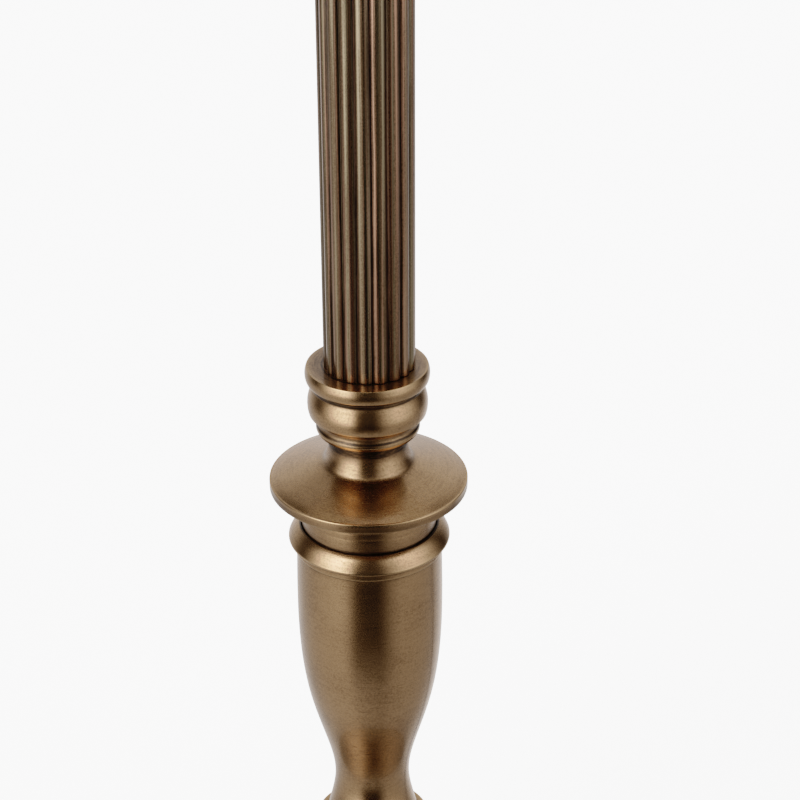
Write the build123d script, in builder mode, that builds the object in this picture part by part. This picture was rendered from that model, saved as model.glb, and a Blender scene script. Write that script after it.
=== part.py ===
from build123d import *
import os
from math import atan2, cos, pi, sin, sqrt

# Candlestick table lamp. A weighted foot carries a turned brass stem: knop, vase, drip pan,
# column seat and reeded column. One threaded tube runs up through them all and holds a bayonet
# lampholder with a push bar switch, and a tapered shade is clamped to the lampholder by a ring.
# Millimetres, +Z up, origin at the centre of the felt's underside, front towards -Y.

# Threaded tube that clamps the stem together
tube_radius = 5.0
tube_bore_radius = 3.75
tube_clearance = 0.2
thread_clearance = 0.05

# Felt and foot
felt_thickness = 2.0
felt_inset = 1.0
foot_radius = 75.0
foot_height = 60.0
foot_wall = 2.2
band_height = 12.0
band_round = 2.5
foot_step_width = 4.0
foot_step_height = 1.6
sweep_reach_radius = 46.0
sweep_throat_radius = 27.0
sweep_throat_height = 5.0
astragal_height = 4.0
astragal_swell = 2.4
foot_top_radius = 24.2

# Iron weight in the foot, with a recess for the nut and a channel for the cord's way in
weight_radius = 62.0
weight_lift = 1.5
weight_edge_height = 8.6
weight_shoulder_radius = 38.0
weight_shoulder_height = 11.5
weight_crown_radius = 18.0
weight_crown_height = 26.0
weight_boss_radius = 14.0
recess_radius = 15.0
recess_depth = 14.5
channel_width = 8.0
channel_height = 6.5

# Washer and nut under the weight
washer_radius = 13.0
washer_thickness = 1.5
nut_across_flats = 17.0
nut_height = 6.0
tube_tail = 1.0

# Cord inlet bush in the rear of the foot
bush_radius = 3.8
bush_bore_radius = 3.1
bush_flange_radius = 5.0
bush_flange_thickness = 1.4
bush_flange_round = 0.6
bush_lip_radius = 4.25
bush_lip_thickness = 1.1
bush_clearance = 0.1
bush_lip_gap = 0.25
bush_height = 5.4

# Knop between foot and vase, member by member from the top
knop_rim_radius = 19.3
knop_rim_height = 4.2
knop_rim_swell = 0.45
knop_groove_radius = 16.6
knop_groove_height = 1.6
knop_bead_height = 5.4
knop_bead_swell = 1.9
knop_base_radius = 17.6
knop_base_height = 1.3

# Vase
vase_height = 119.1
vase_foot_radius = 16.6
flare_radius = 13.85
flare_height = 10.3
waist_radius = 12.5
waist_height = 19.3
flank_radius = 15.98
flank_height = 38.3
shoulder_radius = 20.12
shoulder_height = 53.3
belly_radius = 23.45
belly_height = 88.8
vase_neck_radius = 23.15
vase_neck_step = 0.5
lip_radius = 25.65
lip_fall = 4.7
lip_swell = 0.5
lip_edge = 0.6
lip_ring_radius = 24.05
lip_ring_drop = 6.3
lip_ring_height = 1.9
vase_bore_radius = 19.4
vase_bore_floor = 64.8
vase_well_radius = 8.5
vase_well_floor = 32.8

# Drip pan
pan_radius = 31.15
pan_rim = 3.0
pan_rim_round = 0.5
pan_rise = 15.4
pan_neck_radius = 12.3
pan_neck_height = 2.8
pan_neck_lean = 0.2
pan_neck_pull = 2.2
pan_flare_radius = 13.8
pan_flare_height = 6.9
pan_flare_pull = 0.9
pan_dish_pull = 1.6
pan_shoulder_radius = 24.5
pan_shoulder_height = 2.1
pan_shoulder_slope = 0.25
pan_shoulder_reach = 4.5
pan_shoulder_lead = 2.0
pan_rim_reach = 2.0
pan_rim_slope = 0.5
pan_spigot_radius = 21.4
pan_spigot_show = 13.2
pan_spigot_depth = 5.0
pan_spigot_wall = 3.4
mouth_clearance = 0.3

# Column seat, member by member from the top
seat_rim_radius = 18.75
seat_rim_height = 4.5
seat_rim_swell = 0.45
seat_rim_spread = 0.15
seat_groove_radius = 17.2
seat_groove_height = 2.5
seat_groove_slope = 1.25
seat_bead_radius = 18.2
seat_bead_height = 8.75
seat_bead_swell = 0.9
seat_cove_radius = 16.8
seat_cove_step = 0.6
seat_cove_height = 3.35
seat_cove_depth = 0.7
seat_ring_radius = 16.0
seat_ring_edge = 15.2
seat_ring_height = 2.75
seat_ring_swell = 0.5
seat_foot_radius = 13.2
seat_foot_slope = 0.4
seat_foot_height = 0.5

# Reeded column
column_radius = 14.1
column_length = 180.0
column_bore_radius = 11.5
reed_count = 18
reed_depth = 1.05
reed_phase = -103.8
spigot_clearance = 0.1
spigot_length = 8.0

# Column cap, member by member from the bottom
cap_rim_radius = 18.75
cap_rim_height = 4.5
cap_rim_swell = 0.45
cap_groove_radius = 17.2
cap_groove_height = 1.4
cap_bead_radius = 16.2
cap_bead_height = 8.0
cap_bead_swell = 1.1
cap_cove_height = 5.0
cap_cove_depth = 1.0
cap_top_radius = 12.5
cap_top_height = 1.1

# Candle cup
cup_foot_radius = 10.5
cup_radius = 21.0
cup_height = 13.0
cup_wall = 1.6
cup_floor = 3.0
cup_floor_radius = 9.6
cup_swell = 3.0

# Lampholder cap
entry_radius = 8.0
entry_height = 9.0
entry_thread = 8.0
entry_wall = 1.6
holder_radius = 17.5
holder_wall = 1.3
dome_height = 11.0
dome_swell = 2.4
dome_floor_radius = 6.5
ledge_width = 1.0
ledge_height = 2.0
holder_side_height = 14.0
grub_radius = 1.5
grub_height = 4.5
screw_slot_width = 0.6
screw_slot_depth = 0.6

# Insulating block with the switch bar, the contacts and the terminals
block_clearance = 0.1
block_height = 8.0
block_boss_radius = 10.8
block_boss_height = 14.0
running_clearance = 0.05
bar_radius = 2.5
bar_height = 4.0
bar_show = 3.0
bar_travel = 6.0
bar_round = 1.0
bar_window_clearance = 0.5
contact_spacing = 10.0
plunger_radius = 2.15
plunger_length = 9.0
plunger_show = 4.0
plunger_round = 0.8
spring_length = 8.0
spring_wire_radius = 0.25
spring_turns = 4
spring_bore_gap = 0.2
terminal_radius = 1.45
terminal_length = 5.0
terminal_head_radius = 2.6
terminal_head_height = 1.4
terminal_spacing = 18.0

# Bayonet barrel, skirt and shade ring
barrel_bore_radius = 11.2
barrel_wall = 0.8
barrel_boss_clearance = 0.2
barrel_height = 34.0
flange_radius = 14.3
flange_height = 2.0
flange_clearance = 0.2
slot_width = 2.6
slot_depth = 13.0
hook_angle = 28.0
hook_end_angle = 12.0
hook_rise = 1.5
skirt_radius = 14.3
skirt_wall = 0.8
skirt_inset = 2.0
skirt_collar_height = 5.0
skirt_spigot_height = 3.6
skirt_ledge_height = 1.5
ring_radius = 17.5
ring_height = 6.5
ring_flange_radius = 20.5
ring_flange_height = 2.0

# Shade and its frame
plate_radius = 27.0
plate_thickness = 1.2
plate_clearance = 0.3
weld_gap = 0.05
shade_rest_gap = 0.1
wire_radius = 1.6
arm_count = 3
arm_level = 7.0
arm_bend = 10.0
shade_drop = 56.0
shade_bottom_radius = 150.0
shade_top_radius = 95.0
shade_height = 190.0
cover_thickness = 0.6
liner_thickness = 0.5
layer_gap = 0.05
tape_height = 9.0
tape_thickness = 0.5
wire_inset = 2.6

# Heights of members that are sums of others
seat_height = (
    seat_rim_height + seat_groove_height + seat_bead_height + seat_cove_step
    + seat_cove_height + seat_ring_height + seat_foot_slope + seat_foot_height
)
knop_height = knop_rim_height + knop_groove_height + knop_bead_height + knop_base_height
cap_height = cap_rim_height + cap_groove_height + cap_bead_height + cap_cove_height + cap_top_height

# Heights up the stem
z_foot = felt_thickness
z_knop = z_foot + foot_height
z_vase = z_knop + knop_height
z_lip = z_vase + vase_height
z_pan = z_lip + pan_spigot_show
z_seat = z_pan + pan_rim + pan_rise
z_column = z_seat + seat_height
z_cap = z_column + column_length
z_cup = z_cap + cap_height
z_holder = z_cup + cup_floor

# Heights inside the foot
z_foot_roof = z_knop - foot_wall
z_weight = z_foot + weight_lift
z_recess = z_weight + recess_depth
z_washer = z_recess - washer_thickness
z_nut = z_washer - nut_height
z_tube = z_nut - tube_tail
z_bush = z_foot + bush_height

# Heights inside the lampholder
z_tube_top = z_holder + entry_thread
z_block = z_holder + entry_height + dome_height + ledge_height
z_flange = z_block + block_height
z_boss = z_flange + block_boss_height
z_bar = z_block + bar_height
z_plunger = z_boss + plunger_show - plunger_length
z_spring = z_plunger - spring_length
z_barrel = z_flange + barrel_height
z_holder_rim = z_holder + entry_height + dome_height + holder_side_height
z_plate = z_holder_rim + skirt_collar_height + shade_rest_gap
z_ring = z_plate + plate_thickness + shade_rest_gap

# Heights and slope of the shade
z_shade = z_plate - shade_drop
z_shade_top = z_shade + shade_height
z_low_wire = z_shade + wire_inset
z_high_wire = z_shade_top - wire_inset
shade_slope = atan2(shade_bottom_radius - shade_top_radius, shade_height)

# Radii that fit one another
tube_hole_radius = tube_radius + tube_clearance
thread_hole_radius = tube_radius + thread_clearance
mouth_radius = pan_spigot_radius + mouth_clearance
column_spigot_radius = column_bore_radius - spigot_clearance
holder_bore_radius = holder_radius - holder_wall
ledge_radius = holder_bore_radius - ledge_width
block_radius = holder_bore_radius - block_clearance
plunger_bore_radius = plunger_radius + running_clearance
barrel_radius = barrel_bore_radius + barrel_wall
skirt_bore_radius = skirt_radius - skirt_wall
contact_offset = contact_spacing / 2
terminal_offset = terminal_spacing / 2
bar_reach = holder_radius + bar_show


def turning_plane(height):
    """Upright plane through the lamp's axis: x is the radius, y the height above the given one."""
    return Plane(origin=(0, 0, height), x_dir=(1, 0, 0), z_dir=(0, -1, 0))


def rear_plane(height, distance):
    """Plane that faces the rear at a height and at a distance behind the lamp's axis."""
    return Plane(origin=(0, distance, height), x_dir=(1, 0, 0), z_dir=(0, 1, 0))


def shade_radius(height):
    """Radius of the fabric's outer face at a height above the table."""
    share = (height - z_shade) / shade_height
    return shade_bottom_radius + share * (shade_top_radius - shade_bottom_radius)


def wire_ring_radius(height):
    """Radius of a wire ring that lies against the inside of the liner at a height."""
    depth = cover_thickness + liner_thickness + 2 * layer_gap + wire_radius
    return shade_radius(height) - depth / cos(shade_slope)


def shade_layer(low, high, inside, outside):
    """One conical layer of the shade between two heights and two depths from the fabric's face."""
    near = inside / cos(shade_slope)
    far = outside / cos(shade_slope)
    with BuildPart() as layer:
        with BuildSketch(turning_plane(0)):
            with BuildLine():
                Polyline(
                    (shade_radius(low) + near, low),
                    (shade_radius(low) + far, low),
                    (shade_radius(high) + far, high),
                    (shade_radius(high) + near, high),
                    close=True,
                )
            make_face()
        revolve(axis=Axis.Z)
    return layer


def wire_ring(height):
    """Wire ring against the inside of the liner, with its wire's centre at a height."""
    with BuildPart() as ring:
        with BuildSketch(turning_plane(height)):
            with Locations((wire_ring_radius(height), 0)):
                Circle(wire_radius)
        revolve(axis=Axis.Z)
    return ring


def contact_plunger(offset):
    """Round-ended contact pin on an upright axis, at an offset from the lamp's axis along Y."""
    with BuildPart() as plunger:
        with BuildSketch(Plane.XY.offset(z_plunger)):
            with Locations((0, offset)):
                Circle(plunger_radius)
        extrude(amount=plunger_length)
        fillet(plunger.edges().group_by(Axis.Z)[-1], radius=plunger_round)
    return plunger


def contact_spring(offset):
    """Compression spring below a contact pin: half turns of a helix, each as two tangent arcs."""
    coil_radius = plunger_bore_radius - spring_bore_gap - spring_wire_radius
    rise = (spring_length - 2 * spring_wire_radius) / spring_turns

    def place(turn):
        angle = 2 * pi * turn
        height = z_spring + spring_wire_radius + rise * turn
        return Vector(coil_radius * cos(angle), offset + coil_radius * sin(angle), height)

    def direction(turn):
        angle = 2 * pi * turn
        run = 2 * pi * coil_radius
        return Vector(-run * sin(angle), run * cos(angle), rise).normalized()

    with BuildPart() as spring:
        with BuildLine() as wire:
            for half in range(2 * spring_turns):
                start = place(half / 2)
                end = place((half + 1) / 2)
                leaving = direction(half / 2)
                arriving = direction((half + 1) / 2)
                chord = end - start
                spread = 2 * (1 - leaving.dot(arriving))
                along = chord.dot(leaving + arriving)
                reach = (sqrt(along ** 2 + spread * chord.dot(chord)) - along) / spread
                first_corner = start + leaving * reach
                second_corner = end - arriving * reach
                middle = (first_corner + second_corner) * 0.5
                TangentArc(start, middle, tangent=leaving)
                TangentArc(middle, end, tangent=second_corner - first_corner)
        with BuildSketch(Plane(origin=place(0), z_dir=direction(0))):
            Circle(spring_wire_radius)
        sweep(path=wire.line)
    print(f"spring: least gap between turns {rise - 2 * spring_wire_radius:.2f} mm")
    return spring


# Felt disc under the foot
with BuildPart() as felt_pad:
    with BuildSketch():
        Circle(foot_radius - felt_inset)
    extrude(amount=felt_thickness)

# Foot: spun bell with an upright band, a hollow sweep up to an astragal and an open underside
band_bore = foot_radius - foot_wall
step_radius = foot_radius - foot_step_width
sweep_low = band_height + foot_step_height
sweep_high = foot_height - astragal_height
roof = foot_height - foot_wall
with BuildPart() as base_foot:
    with BuildSketch(turning_plane(z_foot)):
        with BuildLine():
            Line((tube_hole_radius, foot_height), (foot_top_radius, foot_height))
            SagittaArc((foot_top_radius, foot_height), (foot_top_radius, sweep_high), astragal_swell)
            Bezier(
                (foot_top_radius, sweep_high),
                (sweep_throat_radius, sweep_low + sweep_throat_height),
                (sweep_reach_radius, sweep_low),
                (step_radius, sweep_low),
            )
            Polyline(
                (step_radius, sweep_low),
                (step_radius, band_height),
                (foot_radius - band_round, band_height),
            )
            RadiusArc(
                (foot_radius - band_round, band_height),
                (foot_radius, band_height - band_round),
                band_round,
            )
            Polyline(
                (foot_radius, band_height - band_round),
                (foot_radius, 0),
                (band_bore, 0),
                (band_bore, band_height - foot_wall),
                (step_radius - foot_wall, sweep_low - foot_wall),
            )
            Bezier(
                (step_radius - foot_wall, sweep_low - foot_wall),
                (sweep_reach_radius - foot_wall, sweep_low - foot_wall),
                (sweep_throat_radius - foot_wall, sweep_low + sweep_throat_height - foot_wall),
                (foot_top_radius - foot_wall, sweep_high - foot_wall),
            )
            Polyline(
                (foot_top_radius - foot_wall, sweep_high - foot_wall),
                (foot_top_radius - foot_wall, roof),
                (tube_hole_radius, roof),
                (tube_hole_radius, foot_height),
            )
        make_face()
    revolve(axis=Axis.Z)
    with BuildSketch(rear_plane(z_bush, foot_radius)):
        Circle(bush_radius + bush_clearance)
    extrude(amount=-2 * foot_wall, mode=Mode.SUBTRACT)

# Iron weight that hangs from the foot's roof by its boss
with BuildPart() as base_weight:
    with BuildSketch(turning_plane(z_weight)):
        with BuildLine():
            Polyline(
                (recess_radius, 0),
                (weight_radius, 0),
                (weight_radius, weight_edge_height),
                (weight_shoulder_radius, weight_shoulder_height),
                (weight_crown_radius, weight_crown_height),
                (weight_boss_radius, weight_crown_height),
                (weight_boss_radius, z_foot_roof - z_weight),
                (tube_hole_radius, z_foot_roof - z_weight),
                (tube_hole_radius, recess_depth),
                (recess_radius, recess_depth),
                close=True,
            )
        make_face()
    revolve(axis=Axis.Z)
    with BuildSketch(Plane.XY.offset(z_weight)):
        Rectangle(channel_width, weight_radius + recess_radius, align=(Align.CENTER, Align.MIN))
    extrude(amount=channel_height, mode=Mode.SUBTRACT)

# Washer and hexagon nut that pull the stem down on the weight
with BuildPart() as washer:
    with BuildSketch(Plane.XY.offset(z_washer)):
        Circle(washer_radius)
        Circle(tube_hole_radius, mode=Mode.SUBTRACT)
    extrude(amount=washer_thickness)

with BuildPart() as lock_nut:
    with BuildSketch(Plane.XY.offset(z_nut)):
        RegularPolygon(nut_across_flats / 2, 6, major_radius=False)
        Circle(thread_hole_radius, mode=Mode.SUBTRACT)
    extrude(amount=nut_height)

# Bush that lines the cord's hole, with a flange outside the band and a snap lip inside it
bush_inner = band_bore - bush_lip_gap
with BuildPart() as cord_bush:
    with BuildSketch(rear_plane(z_bush, bush_inner - bush_lip_thickness)):
        Circle(bush_lip_radius)
    extrude(amount=bush_lip_thickness)
    with BuildSketch(rear_plane(z_bush, bush_inner)):
        Circle(bush_radius)
    extrude(amount=foot_radius - bush_inner)
    with BuildSketch(rear_plane(z_bush, foot_radius)):
        Circle(bush_flange_radius)
    extrude(amount=bush_flange_thickness)
    fillet(cord_bush.edges().group_by(Axis.Y)[-1], radius=bush_flange_round)
    with BuildSketch(rear_plane(z_bush, bush_inner - bush_lip_thickness)):
        Circle(bush_bore_radius)
    extrude(amount=foot_radius - bush_inner + bush_lip_thickness + bush_flange_thickness, mode=Mode.SUBTRACT)

# Threaded tube from the nut to the lampholder's entry
with BuildPart() as threaded_tube:
    with BuildSketch(Plane.XY.offset(z_tube)):
        Circle(tube_radius)
        Circle(tube_bore_radius, mode=Mode.SUBTRACT)
    extrude(amount=z_tube_top - z_tube)

# Knop: flat-topped rim that the vase stands on, groove, bead and base collar
knop_rim_low = knop_height - knop_rim_height
knop_bead_top = knop_base_height + knop_bead_height
with BuildPart() as foot_knop:
    with BuildSketch(turning_plane(z_knop)):
        with BuildLine():
            Line((tube_hole_radius, knop_height), (knop_rim_radius, knop_height))
            SagittaArc((knop_rim_radius, knop_height), (knop_rim_radius, knop_rim_low), knop_rim_swell)
            Line((knop_rim_radius, knop_rim_low), (knop_groove_radius, knop_bead_top))
            SagittaArc(
                (knop_groove_radius, knop_bead_top),
                (knop_groove_radius, knop_base_height),
                knop_bead_swell,
            )
            Polyline(
                (knop_groove_radius, knop_base_height),
                (knop_base_radius, knop_base_height),
                (knop_base_radius, 0),
                (tube_hole_radius, 0),
                (tube_hole_radius, knop_height),
            )
        make_face()
    revolve(axis=Axis.Z)

# Vase: bevelled lip, thin ring, long belly drawn in to a waist, bored out to take the pan's spigot
lip_low = vase_height - lip_fall
ring_top = vase_height - lip_ring_drop
ring_low = ring_top - lip_ring_height
shelf = vase_height - pan_spigot_depth
with BuildPart() as vase:
    with BuildSketch(turning_plane(z_vase)):
        with BuildLine():
            SagittaArc((mouth_radius, vase_height), (lip_radius, lip_low), lip_swell)
            Polyline(
                (lip_radius, lip_low),
                (lip_radius, lip_low - lip_edge),
                (lip_ring_radius, ring_top),
                (lip_ring_radius, ring_low),
                (vase_neck_radius, ring_low - vase_neck_step),
            )
            Spline(
                (vase_neck_radius, ring_low - vase_neck_step),
                (belly_radius, belly_height),
                (shoulder_radius, shoulder_height),
                (flank_radius, flank_height),
                (waist_radius, waist_height),
                (flare_radius, flare_height),
                (vase_foot_radius, 0),
            )
            Polyline(
                (vase_foot_radius, 0),
                (tube_hole_radius, 0),
                (tube_hole_radius, vase_well_floor),
                (vase_well_radius, vase_well_floor),
                (vase_bore_radius, vase_bore_floor),
                (vase_bore_radius, shelf),
                (mouth_radius, shelf),
                (mouth_radius, vase_height),
            )
        make_face()
    revolve(axis=Axis.Z)

# Drip pan: short neck that flares into a dish, a shoulder that rounds over to a wide rim, and a hollow
# spigot that stands in the vase's mouth
pan_top = pan_rim + pan_rise
neck_low = pan_top - pan_neck_height
flare_low = pan_rim + pan_flare_height
shoulder_low = pan_rim + pan_shoulder_height
dish_rise = pan_shoulder_reach * pan_shoulder_slope
shoulder_drop = pan_shoulder_lead * pan_shoulder_slope
spigot_low = -pan_spigot_show - pan_spigot_depth
rim_flat = pan_radius - pan_rim_round
with BuildPart() as drip_pan:
    with BuildSketch(turning_plane(z_pan)):
        with BuildLine():
            Polyline(
                (tube_hole_radius, pan_top),
                (pan_neck_radius, pan_top),
                (pan_neck_radius, neck_low),
            )
            Bezier(
                (pan_neck_radius, neck_low),
                (pan_neck_radius + pan_neck_lean, neck_low - pan_neck_pull),
                (pan_flare_radius - pan_flare_pull, flare_low + pan_flare_pull),
                (pan_flare_radius, flare_low),
            )
            Bezier(
                (pan_flare_radius, flare_low),
                (pan_flare_radius + pan_dish_pull, flare_low - pan_dish_pull),
                (pan_shoulder_radius - pan_shoulder_reach, shoulder_low + dish_rise),
                (pan_shoulder_radius, shoulder_low),
            )
            Bezier(
                (pan_shoulder_radius, shoulder_low),
                (pan_shoulder_radius + pan_shoulder_lead, shoulder_low - shoulder_drop),
                (rim_flat - pan_rim_reach, pan_rim + pan_rim_reach * pan_rim_slope),
                (rim_flat, pan_rim),
            )
            RadiusArc((rim_flat, pan_rim), (pan_radius, pan_rim - pan_rim_round), pan_rim_round)
            Line((pan_radius, pan_rim - pan_rim_round), (pan_radius, pan_rim_round))
            RadiusArc((pan_radius, pan_rim_round), (rim_flat, 0), pan_rim_round)
            Polyline(
                (rim_flat, 0),
                (pan_spigot_radius, 0),
                (pan_spigot_radius, spigot_low),
                (pan_spigot_radius - pan_spigot_wall, spigot_low),
                (pan_spigot_radius - pan_spigot_wall, 0),
                (tube_hole_radius, 0),
                (tube_hole_radius, pan_top),
            )
        make_face()
    revolve(axis=Axis.Z)

# Column seat: rim, groove, fat bead, cove and ring, with a spigot up into the column
seat_rim_edge = seat_rim_radius + seat_rim_spread
rim_low = seat_height - seat_rim_height
groove_low = rim_low - seat_groove_height
bead_low = groove_low - seat_bead_height
cove_top = bead_low - seat_cove_step
cove_low = cove_top - seat_cove_height
seat_ring_low = cove_low - seat_ring_height
with BuildPart() as column_seat:
    with BuildSketch(turning_plane(z_seat)):
        with BuildLine():
            Polyline(
                (tube_hole_radius, seat_height + spigot_length),
                (column_spigot_radius, seat_height + spigot_length),
                (column_spigot_radius, seat_height),
                (seat_rim_radius, seat_height),
            )
            SagittaArc((seat_rim_radius, seat_height), (seat_rim_edge, rim_low), seat_rim_swell)
            Polyline(
                (seat_rim_edge, rim_low),
                (seat_groove_radius, rim_low - seat_groove_slope),
                (seat_groove_radius, groove_low),
            )
            SagittaArc((seat_groove_radius, groove_low), (seat_bead_radius, bead_low), seat_bead_swell)
            Line((seat_bead_radius, bead_low), (seat_cove_radius, cove_top))
            SagittaArc((seat_cove_radius, cove_top), (seat_ring_radius, cove_low), -seat_cove_depth)
            SagittaArc((seat_ring_radius, cove_low), (seat_ring_edge, seat_ring_low), seat_ring_swell)
            Polyline(
                (seat_ring_edge, seat_ring_low),
                (seat_foot_radius, seat_foot_height),
                (seat_foot_radius, 0),
                (tube_hole_radius, 0),
                (tube_hole_radius, seat_height + spigot_length),
            )
        make_face()
    revolve(axis=Axis.Z)

# Column: tube whose outside is a ring of round reeds that meet in sharp grooves
reed_turn = 360 / reed_count
groove_radius = column_radius - reed_depth
with BuildPart() as column:
    with BuildSketch(Plane.XY.offset(z_column)):
        with BuildLine():
            for reed in range(reed_count):
                left = reed_phase + reed * reed_turn
                ThreePointArc(
                    Vector(groove_radius, 0).rotate(Axis.Z, left),
                    Vector(column_radius, 0).rotate(Axis.Z, left + reed_turn / 2),
                    Vector(groove_radius, 0).rotate(Axis.Z, left + reed_turn),
                )
        make_face()
        Circle(column_bore_radius, mode=Mode.SUBTRACT)
    extrude(amount=column_length)

# Column cap: the seat's members the other way up, with a spigot down into the column
cap_groove_top = cap_rim_height + cap_groove_height
cap_bead_top = cap_groove_top + cap_bead_height
cap_cove_top = cap_bead_top + cap_cove_height
with BuildPart() as column_cap:
    with BuildSketch(turning_plane(z_cap)):
        with BuildLine():
            Polyline(
                (tube_hole_radius, cap_height),
                (cap_top_radius, cap_height),
                (cap_top_radius, cap_cove_top),
            )
            SagittaArc((cap_top_radius, cap_cove_top), (cap_bead_radius, cap_bead_top), -cap_cove_depth)
            SagittaArc((cap_bead_radius, cap_bead_top), (cap_groove_radius, cap_groove_top), cap_bead_swell)
            Line((cap_groove_radius, cap_groove_top), (cap_rim_radius, cap_rim_height))
            SagittaArc((cap_rim_radius, cap_rim_height), (cap_rim_radius, 0), cap_rim_swell)
            Polyline(
                (cap_rim_radius, 0),
                (column_spigot_radius, 0),
                (column_spigot_radius, -spigot_length),
                (tube_hole_radius, -spigot_length),
                (tube_hole_radius, cap_height),
            )
        make_face()
    revolve(axis=Axis.Z)

# Candle cup: small open bowl that the lampholder stands in
cup_bore_radius = cup_radius - cup_wall
with BuildPart() as candle_cup:
    with BuildSketch(turning_plane(z_cup)):
        with BuildLine():
            Line((cup_bore_radius, cup_height), (cup_radius, cup_height))
            SagittaArc((cup_radius, cup_height), (cup_foot_radius, 0), cup_swell)
            Polyline(
                (cup_foot_radius, 0),
                (tube_hole_radius, 0),
                (tube_hole_radius, cup_floor),
                (cup_floor_radius, cup_floor),
            )
            SagittaArc((cup_floor_radius, cup_floor), (cup_bore_radius, cup_height), cup_wall - cup_swell)
        make_face()
    revolve(axis=Axis.Z)

# Lampholder cap: threaded entry, dome and straight side with two windows for the switch bar
dome_top = entry_height + dome_height
block_seat = dome_top + ledge_height
holder_rim = dome_top + holder_side_height
dome_floor = entry_height + entry_wall
with BuildPart() as lampholder_cap:
    with BuildSketch(turning_plane(z_holder)):
        with BuildLine():
            Polyline(
                (holder_bore_radius, holder_rim),
                (holder_radius, holder_rim),
                (holder_radius, dome_top),
            )
            SagittaArc((holder_radius, dome_top), (entry_radius, entry_height), dome_swell)
            Polyline(
                (entry_radius, entry_height),
                (entry_radius, 0),
                (thread_hole_radius, 0),
                (thread_hole_radius, entry_thread),
                (tube_bore_radius, entry_thread),
                (tube_bore_radius, dome_floor),
                (dome_floor_radius, dome_floor),
            )
            SagittaArc((dome_floor_radius, dome_floor), (ledge_radius, dome_top), -dome_swell)
            Polyline(
                (ledge_radius, dome_top),
                (ledge_radius, block_seat),
                (holder_bore_radius, block_seat),
                (holder_bore_radius, holder_rim),
            )
        make_face()
    revolve(axis=Axis.Z)
    with BuildSketch(Plane.YZ):
        with Locations((0, z_bar)):
            Circle(bar_radius + bar_window_clearance)
    extrude(amount=bar_reach, both=True, mode=Mode.SUBTRACT)
    with BuildSketch(rear_plane(z_holder + grub_height, tube_radius)):
        Circle(grub_radius + thread_clearance)
    extrude(amount=entry_radius, mode=Mode.SUBTRACT)

# Grub screw that stops the lampholder turning on the tube
grub_start = tube_radius + thread_clearance
with BuildPart() as grub_screw:
    with BuildSketch(rear_plane(z_holder + grub_height, grub_start)):
        Circle(grub_radius)
    extrude(amount=entry_radius - grub_start)
    with BuildSketch(rear_plane(z_holder + grub_height, entry_radius)):
        Rectangle(3 * grub_radius, screw_slot_width)
    extrude(amount=-screw_slot_depth, mode=Mode.SUBTRACT)

# Insulating block: disc on the cap's ledge, and a boss up into the barrel with the contacts' bores
with BuildPart() as switch_block:
    with BuildSketch(Plane.XY.offset(z_block)):
        Circle(block_radius)
    extrude(amount=block_height)
    with BuildSketch(Plane.XY.offset(z_flange)):
        Circle(block_boss_radius)
    extrude(amount=block_boss_height)
    with BuildSketch(Plane.XY.offset(z_boss)):
        with Locations((0, contact_offset), (0, -contact_offset)):
            Circle(plunger_bore_radius)
    extrude(amount=z_spring - z_boss, mode=Mode.SUBTRACT)
    with BuildSketch(Plane.YZ):
        with Locations((0, z_bar)):
            Circle(bar_radius + running_clearance)
    extrude(amount=holder_radius, both=True, mode=Mode.SUBTRACT)
    with BuildSketch(Plane.XY.offset(z_block)):
        with Locations((0, terminal_offset), (0, -terminal_offset)):
            Circle(terminal_radius + thread_clearance)
    extrude(amount=terminal_length + thread_clearance, mode=Mode.SUBTRACT)

# Terminal screws in the underside of the block, with slotted heads
with BuildPart() as terminal_screws:
    with BuildSketch(Plane.XY.offset(z_block)):
        with Locations((0, terminal_offset), (0, -terminal_offset)):
            Circle(terminal_radius)
    extrude(amount=terminal_length)
    with BuildSketch(Plane.XY.offset(z_block)):
        with Locations((0, terminal_offset), (0, -terminal_offset)):
            Circle(terminal_head_radius)
    extrude(amount=-terminal_head_height)
    with BuildSketch(Plane.XY.offset(z_block - terminal_head_height)):
        with Locations((0, terminal_offset), (0, -terminal_offset)):
            Rectangle(3 * terminal_head_radius, screw_slot_width)
    extrude(amount=screw_slot_depth, mode=Mode.SUBTRACT)

# Switch bar, pushed out to the right
with BuildPart() as push_bar:
    with BuildSketch(Plane.YZ.offset(-bar_reach)):
        with Locations((0, z_bar)):
            Circle(bar_radius)
    extrude(amount=2 * bar_reach + bar_travel)
    fillet(push_bar.edges().filter_by(GeomType.CIRCLE), radius=bar_round)

# Sprung contacts
contact_plunger_front = contact_plunger(-contact_offset)
contact_plunger_rear = contact_plunger(contact_offset)
contact_spring_front = contact_spring(-contact_offset)
contact_spring_rear = contact_spring(contact_offset)

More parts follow.
